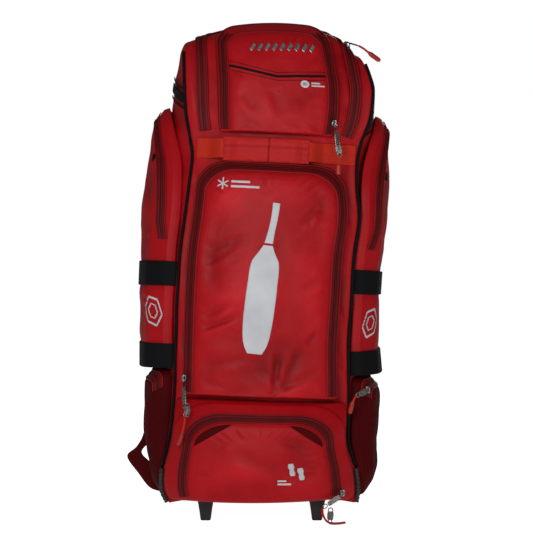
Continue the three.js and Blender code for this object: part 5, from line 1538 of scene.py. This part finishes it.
# Corners as shares of the slope and heights over the middle in millimetres
HEXAGON = [(0.06, 0), (0.3, 26), (0.74, 26), (0.98, 0), (0.74, -26), (0.3, -26)]
SIGN_LEVEL = {"left": 396, "right": 372}
TAB_LEVEL = {"left": 680, "right": 644}
for side in ("left", "right"):
    form = forms["side_" + side]
    print_piece("print_hexagon_" + side, hexagon(form, SIGN_LEVEL[side], 1, 3.2), thickness=0.3)
    print_piece("print_hexagon_inner_" + side, hexagon(form, SIGN_LEVEL[side], 0.5, 2.6), thickness=0.3)
    share = np.linspace(0.35, 1.3, 30)
    low, high = (on_gusset(form, share, np.full(30, TAB_LEVEL[side] + dz)) for dz in (-6, 6))
    lift = unit(np.cross(high - low, np.gradient(low, axis=0)))
    lift = lift * np.sign(-lift[:, 1:2])
    strip("loop_tab_" + side, low + lift * 1.2, high + lift * 1.2, lift, (WEB_W, WEB_H), 0.6, black_binding)

# %% [markdown]
# Netting fills the two upper corners inside the shoe pocket's zip. Each piece lies between the zip's inner
# edge and its own chord, and every point of it is found on the pocket's face.

# %% Netting corners of the shoe pocket
ring = np.abs(shoe["insets"] - 0.86 * shoe["spec"]["gusset"]).argmin()
for side, start, stop in (("right", corner_start - 2, corner_stop + 2),
                          ("left", 2 * HALF - corner_stop - 2, 2 * HALF - corner_start + 2)):
    arc = shoe["shares"][ring, start:stop]
    chord = lerp(arc[:1], arc[-1:], np.linspace(0, 1, len(arc))[:, None])
    w = np.linspace(0, 1, 14)[:, None, None]
    place = lerp(arc[None], chord[None], w)
    points, _ = on_face(shoe, place[..., 0], place[..., 1], 1.4)
    flat = points.reshape(-1, 3)
    faces = facing(flat, grid_faces(14, len(arc), False), (0, -1, 0))
    uv = np.stack([points[..., 0], points[..., 2]], -1)
    net = mesh_piece("netting_corner_" + side, flat, faces, corner_mesh, uv=uv,
                     shades={"fold_shade": np.full(len(flat), 0.5)})
    cloth_thickness(net, 0.5)
    print(net.name, round(float(np.ptp(points[..., 0]))), "mm wide")

# %% [markdown]
# Two soft boxes in front and one behind light the bag as a photographer's would, and the sky adds a faint
# even light. Seen by the camera the sky and the paper floor are white: the Light Path node tells a camera
# ray from the rays that carry light.

# %% Light, floor and sky


def area_light(name, place, size, power, target):
    """A soft box: a square area light turned to its target."""
    data = bpy.data.lights.new(name, "AREA")
    data.shape = "RECTANGLE"
    data.size, data.size_y = size
    data.energy = power
    light = bpy.data.objects.new(name, data)
    light.location = to_frame(place)
    direction = to_frame(target) - to_frame(place)
    light.rotation_euler = Vector(direction).to_track_quat("-Z", "Y").to_euler()
    bpy.context.scene.collection.objects.link(light)


world = bpy.data.worlds.new("studio")
bpy.context.scene.world = world
world.use_nodes = True
sky = world.node_tree
seen = add(sky, "ShaderNodeLightPath").outputs["Is Camera Ray"]
brightness = add(sky, "ShaderNodeMapRange", {"Value": seen, 3: 0.11, 4: 1.0}).outputs[0]
sky.nodes["Background"].inputs["Color"].default_value = (1, 1, 1, 1)
sky.links.new(brightness, sky.nodes["Background"].inputs["Strength"])
# Places in millimetres, sizes in metres and powers in watts
area_light("key", [-260, -1500, 760], (0.5, 0.4), 7.0, [0, 0, 560])
area_light("fill", [520, -1700, 640], (0.7, 0.6), 2.9, [0, 0, 560])
area_light("rear_key", [700, 2300, 1500], (1.2, 1.2), 12.0, [0, 0, 450])
bpy.context.scene.view_settings.view_transform = "Standard"

FLOOR_HALF = 7000
floor_material, floor_tree, floor_shader = blank_material("painted_paper_white")
floor_shader.inputs["Base Color"].default_value = srgb("fcfcfc")
floor_shader.inputs["Roughness"].default_value = 0.9
# The floor glows: almost white where the camera sees it, and faintly for the other rays, which lights the bag
# from below
floor_shader.inputs["Emission Color"].default_value = (1, 1, 1, 1)
seen = add(floor_tree, "ShaderNodeLightPath").outputs["Is Camera Ray"]
glow = add(floor_tree, "ShaderNodeMapRange", {"Value": seen, 3: 0.22, 4: 0.97}).outputs[0]
floor_tree.links.new(glow, floor_shader.inputs["Emission Strength"])
corners = np.array([(-1, -1, 0), (1, -1, 0), (1, 1, 0), (-1, 1, 0)]) * FLOOR_HALF
floor_mesh = bpy.data.meshes.new("floor")
floor_mesh.from_pydata(to_frame(corners).tolist(), [], [[0, 1, 2, 3]])
floor_mesh.materials.append(floor_material)
floor = bpy.data.objects.new("floor", floor_mesh)
bpy.context.scene.collection.objects.link(floor)
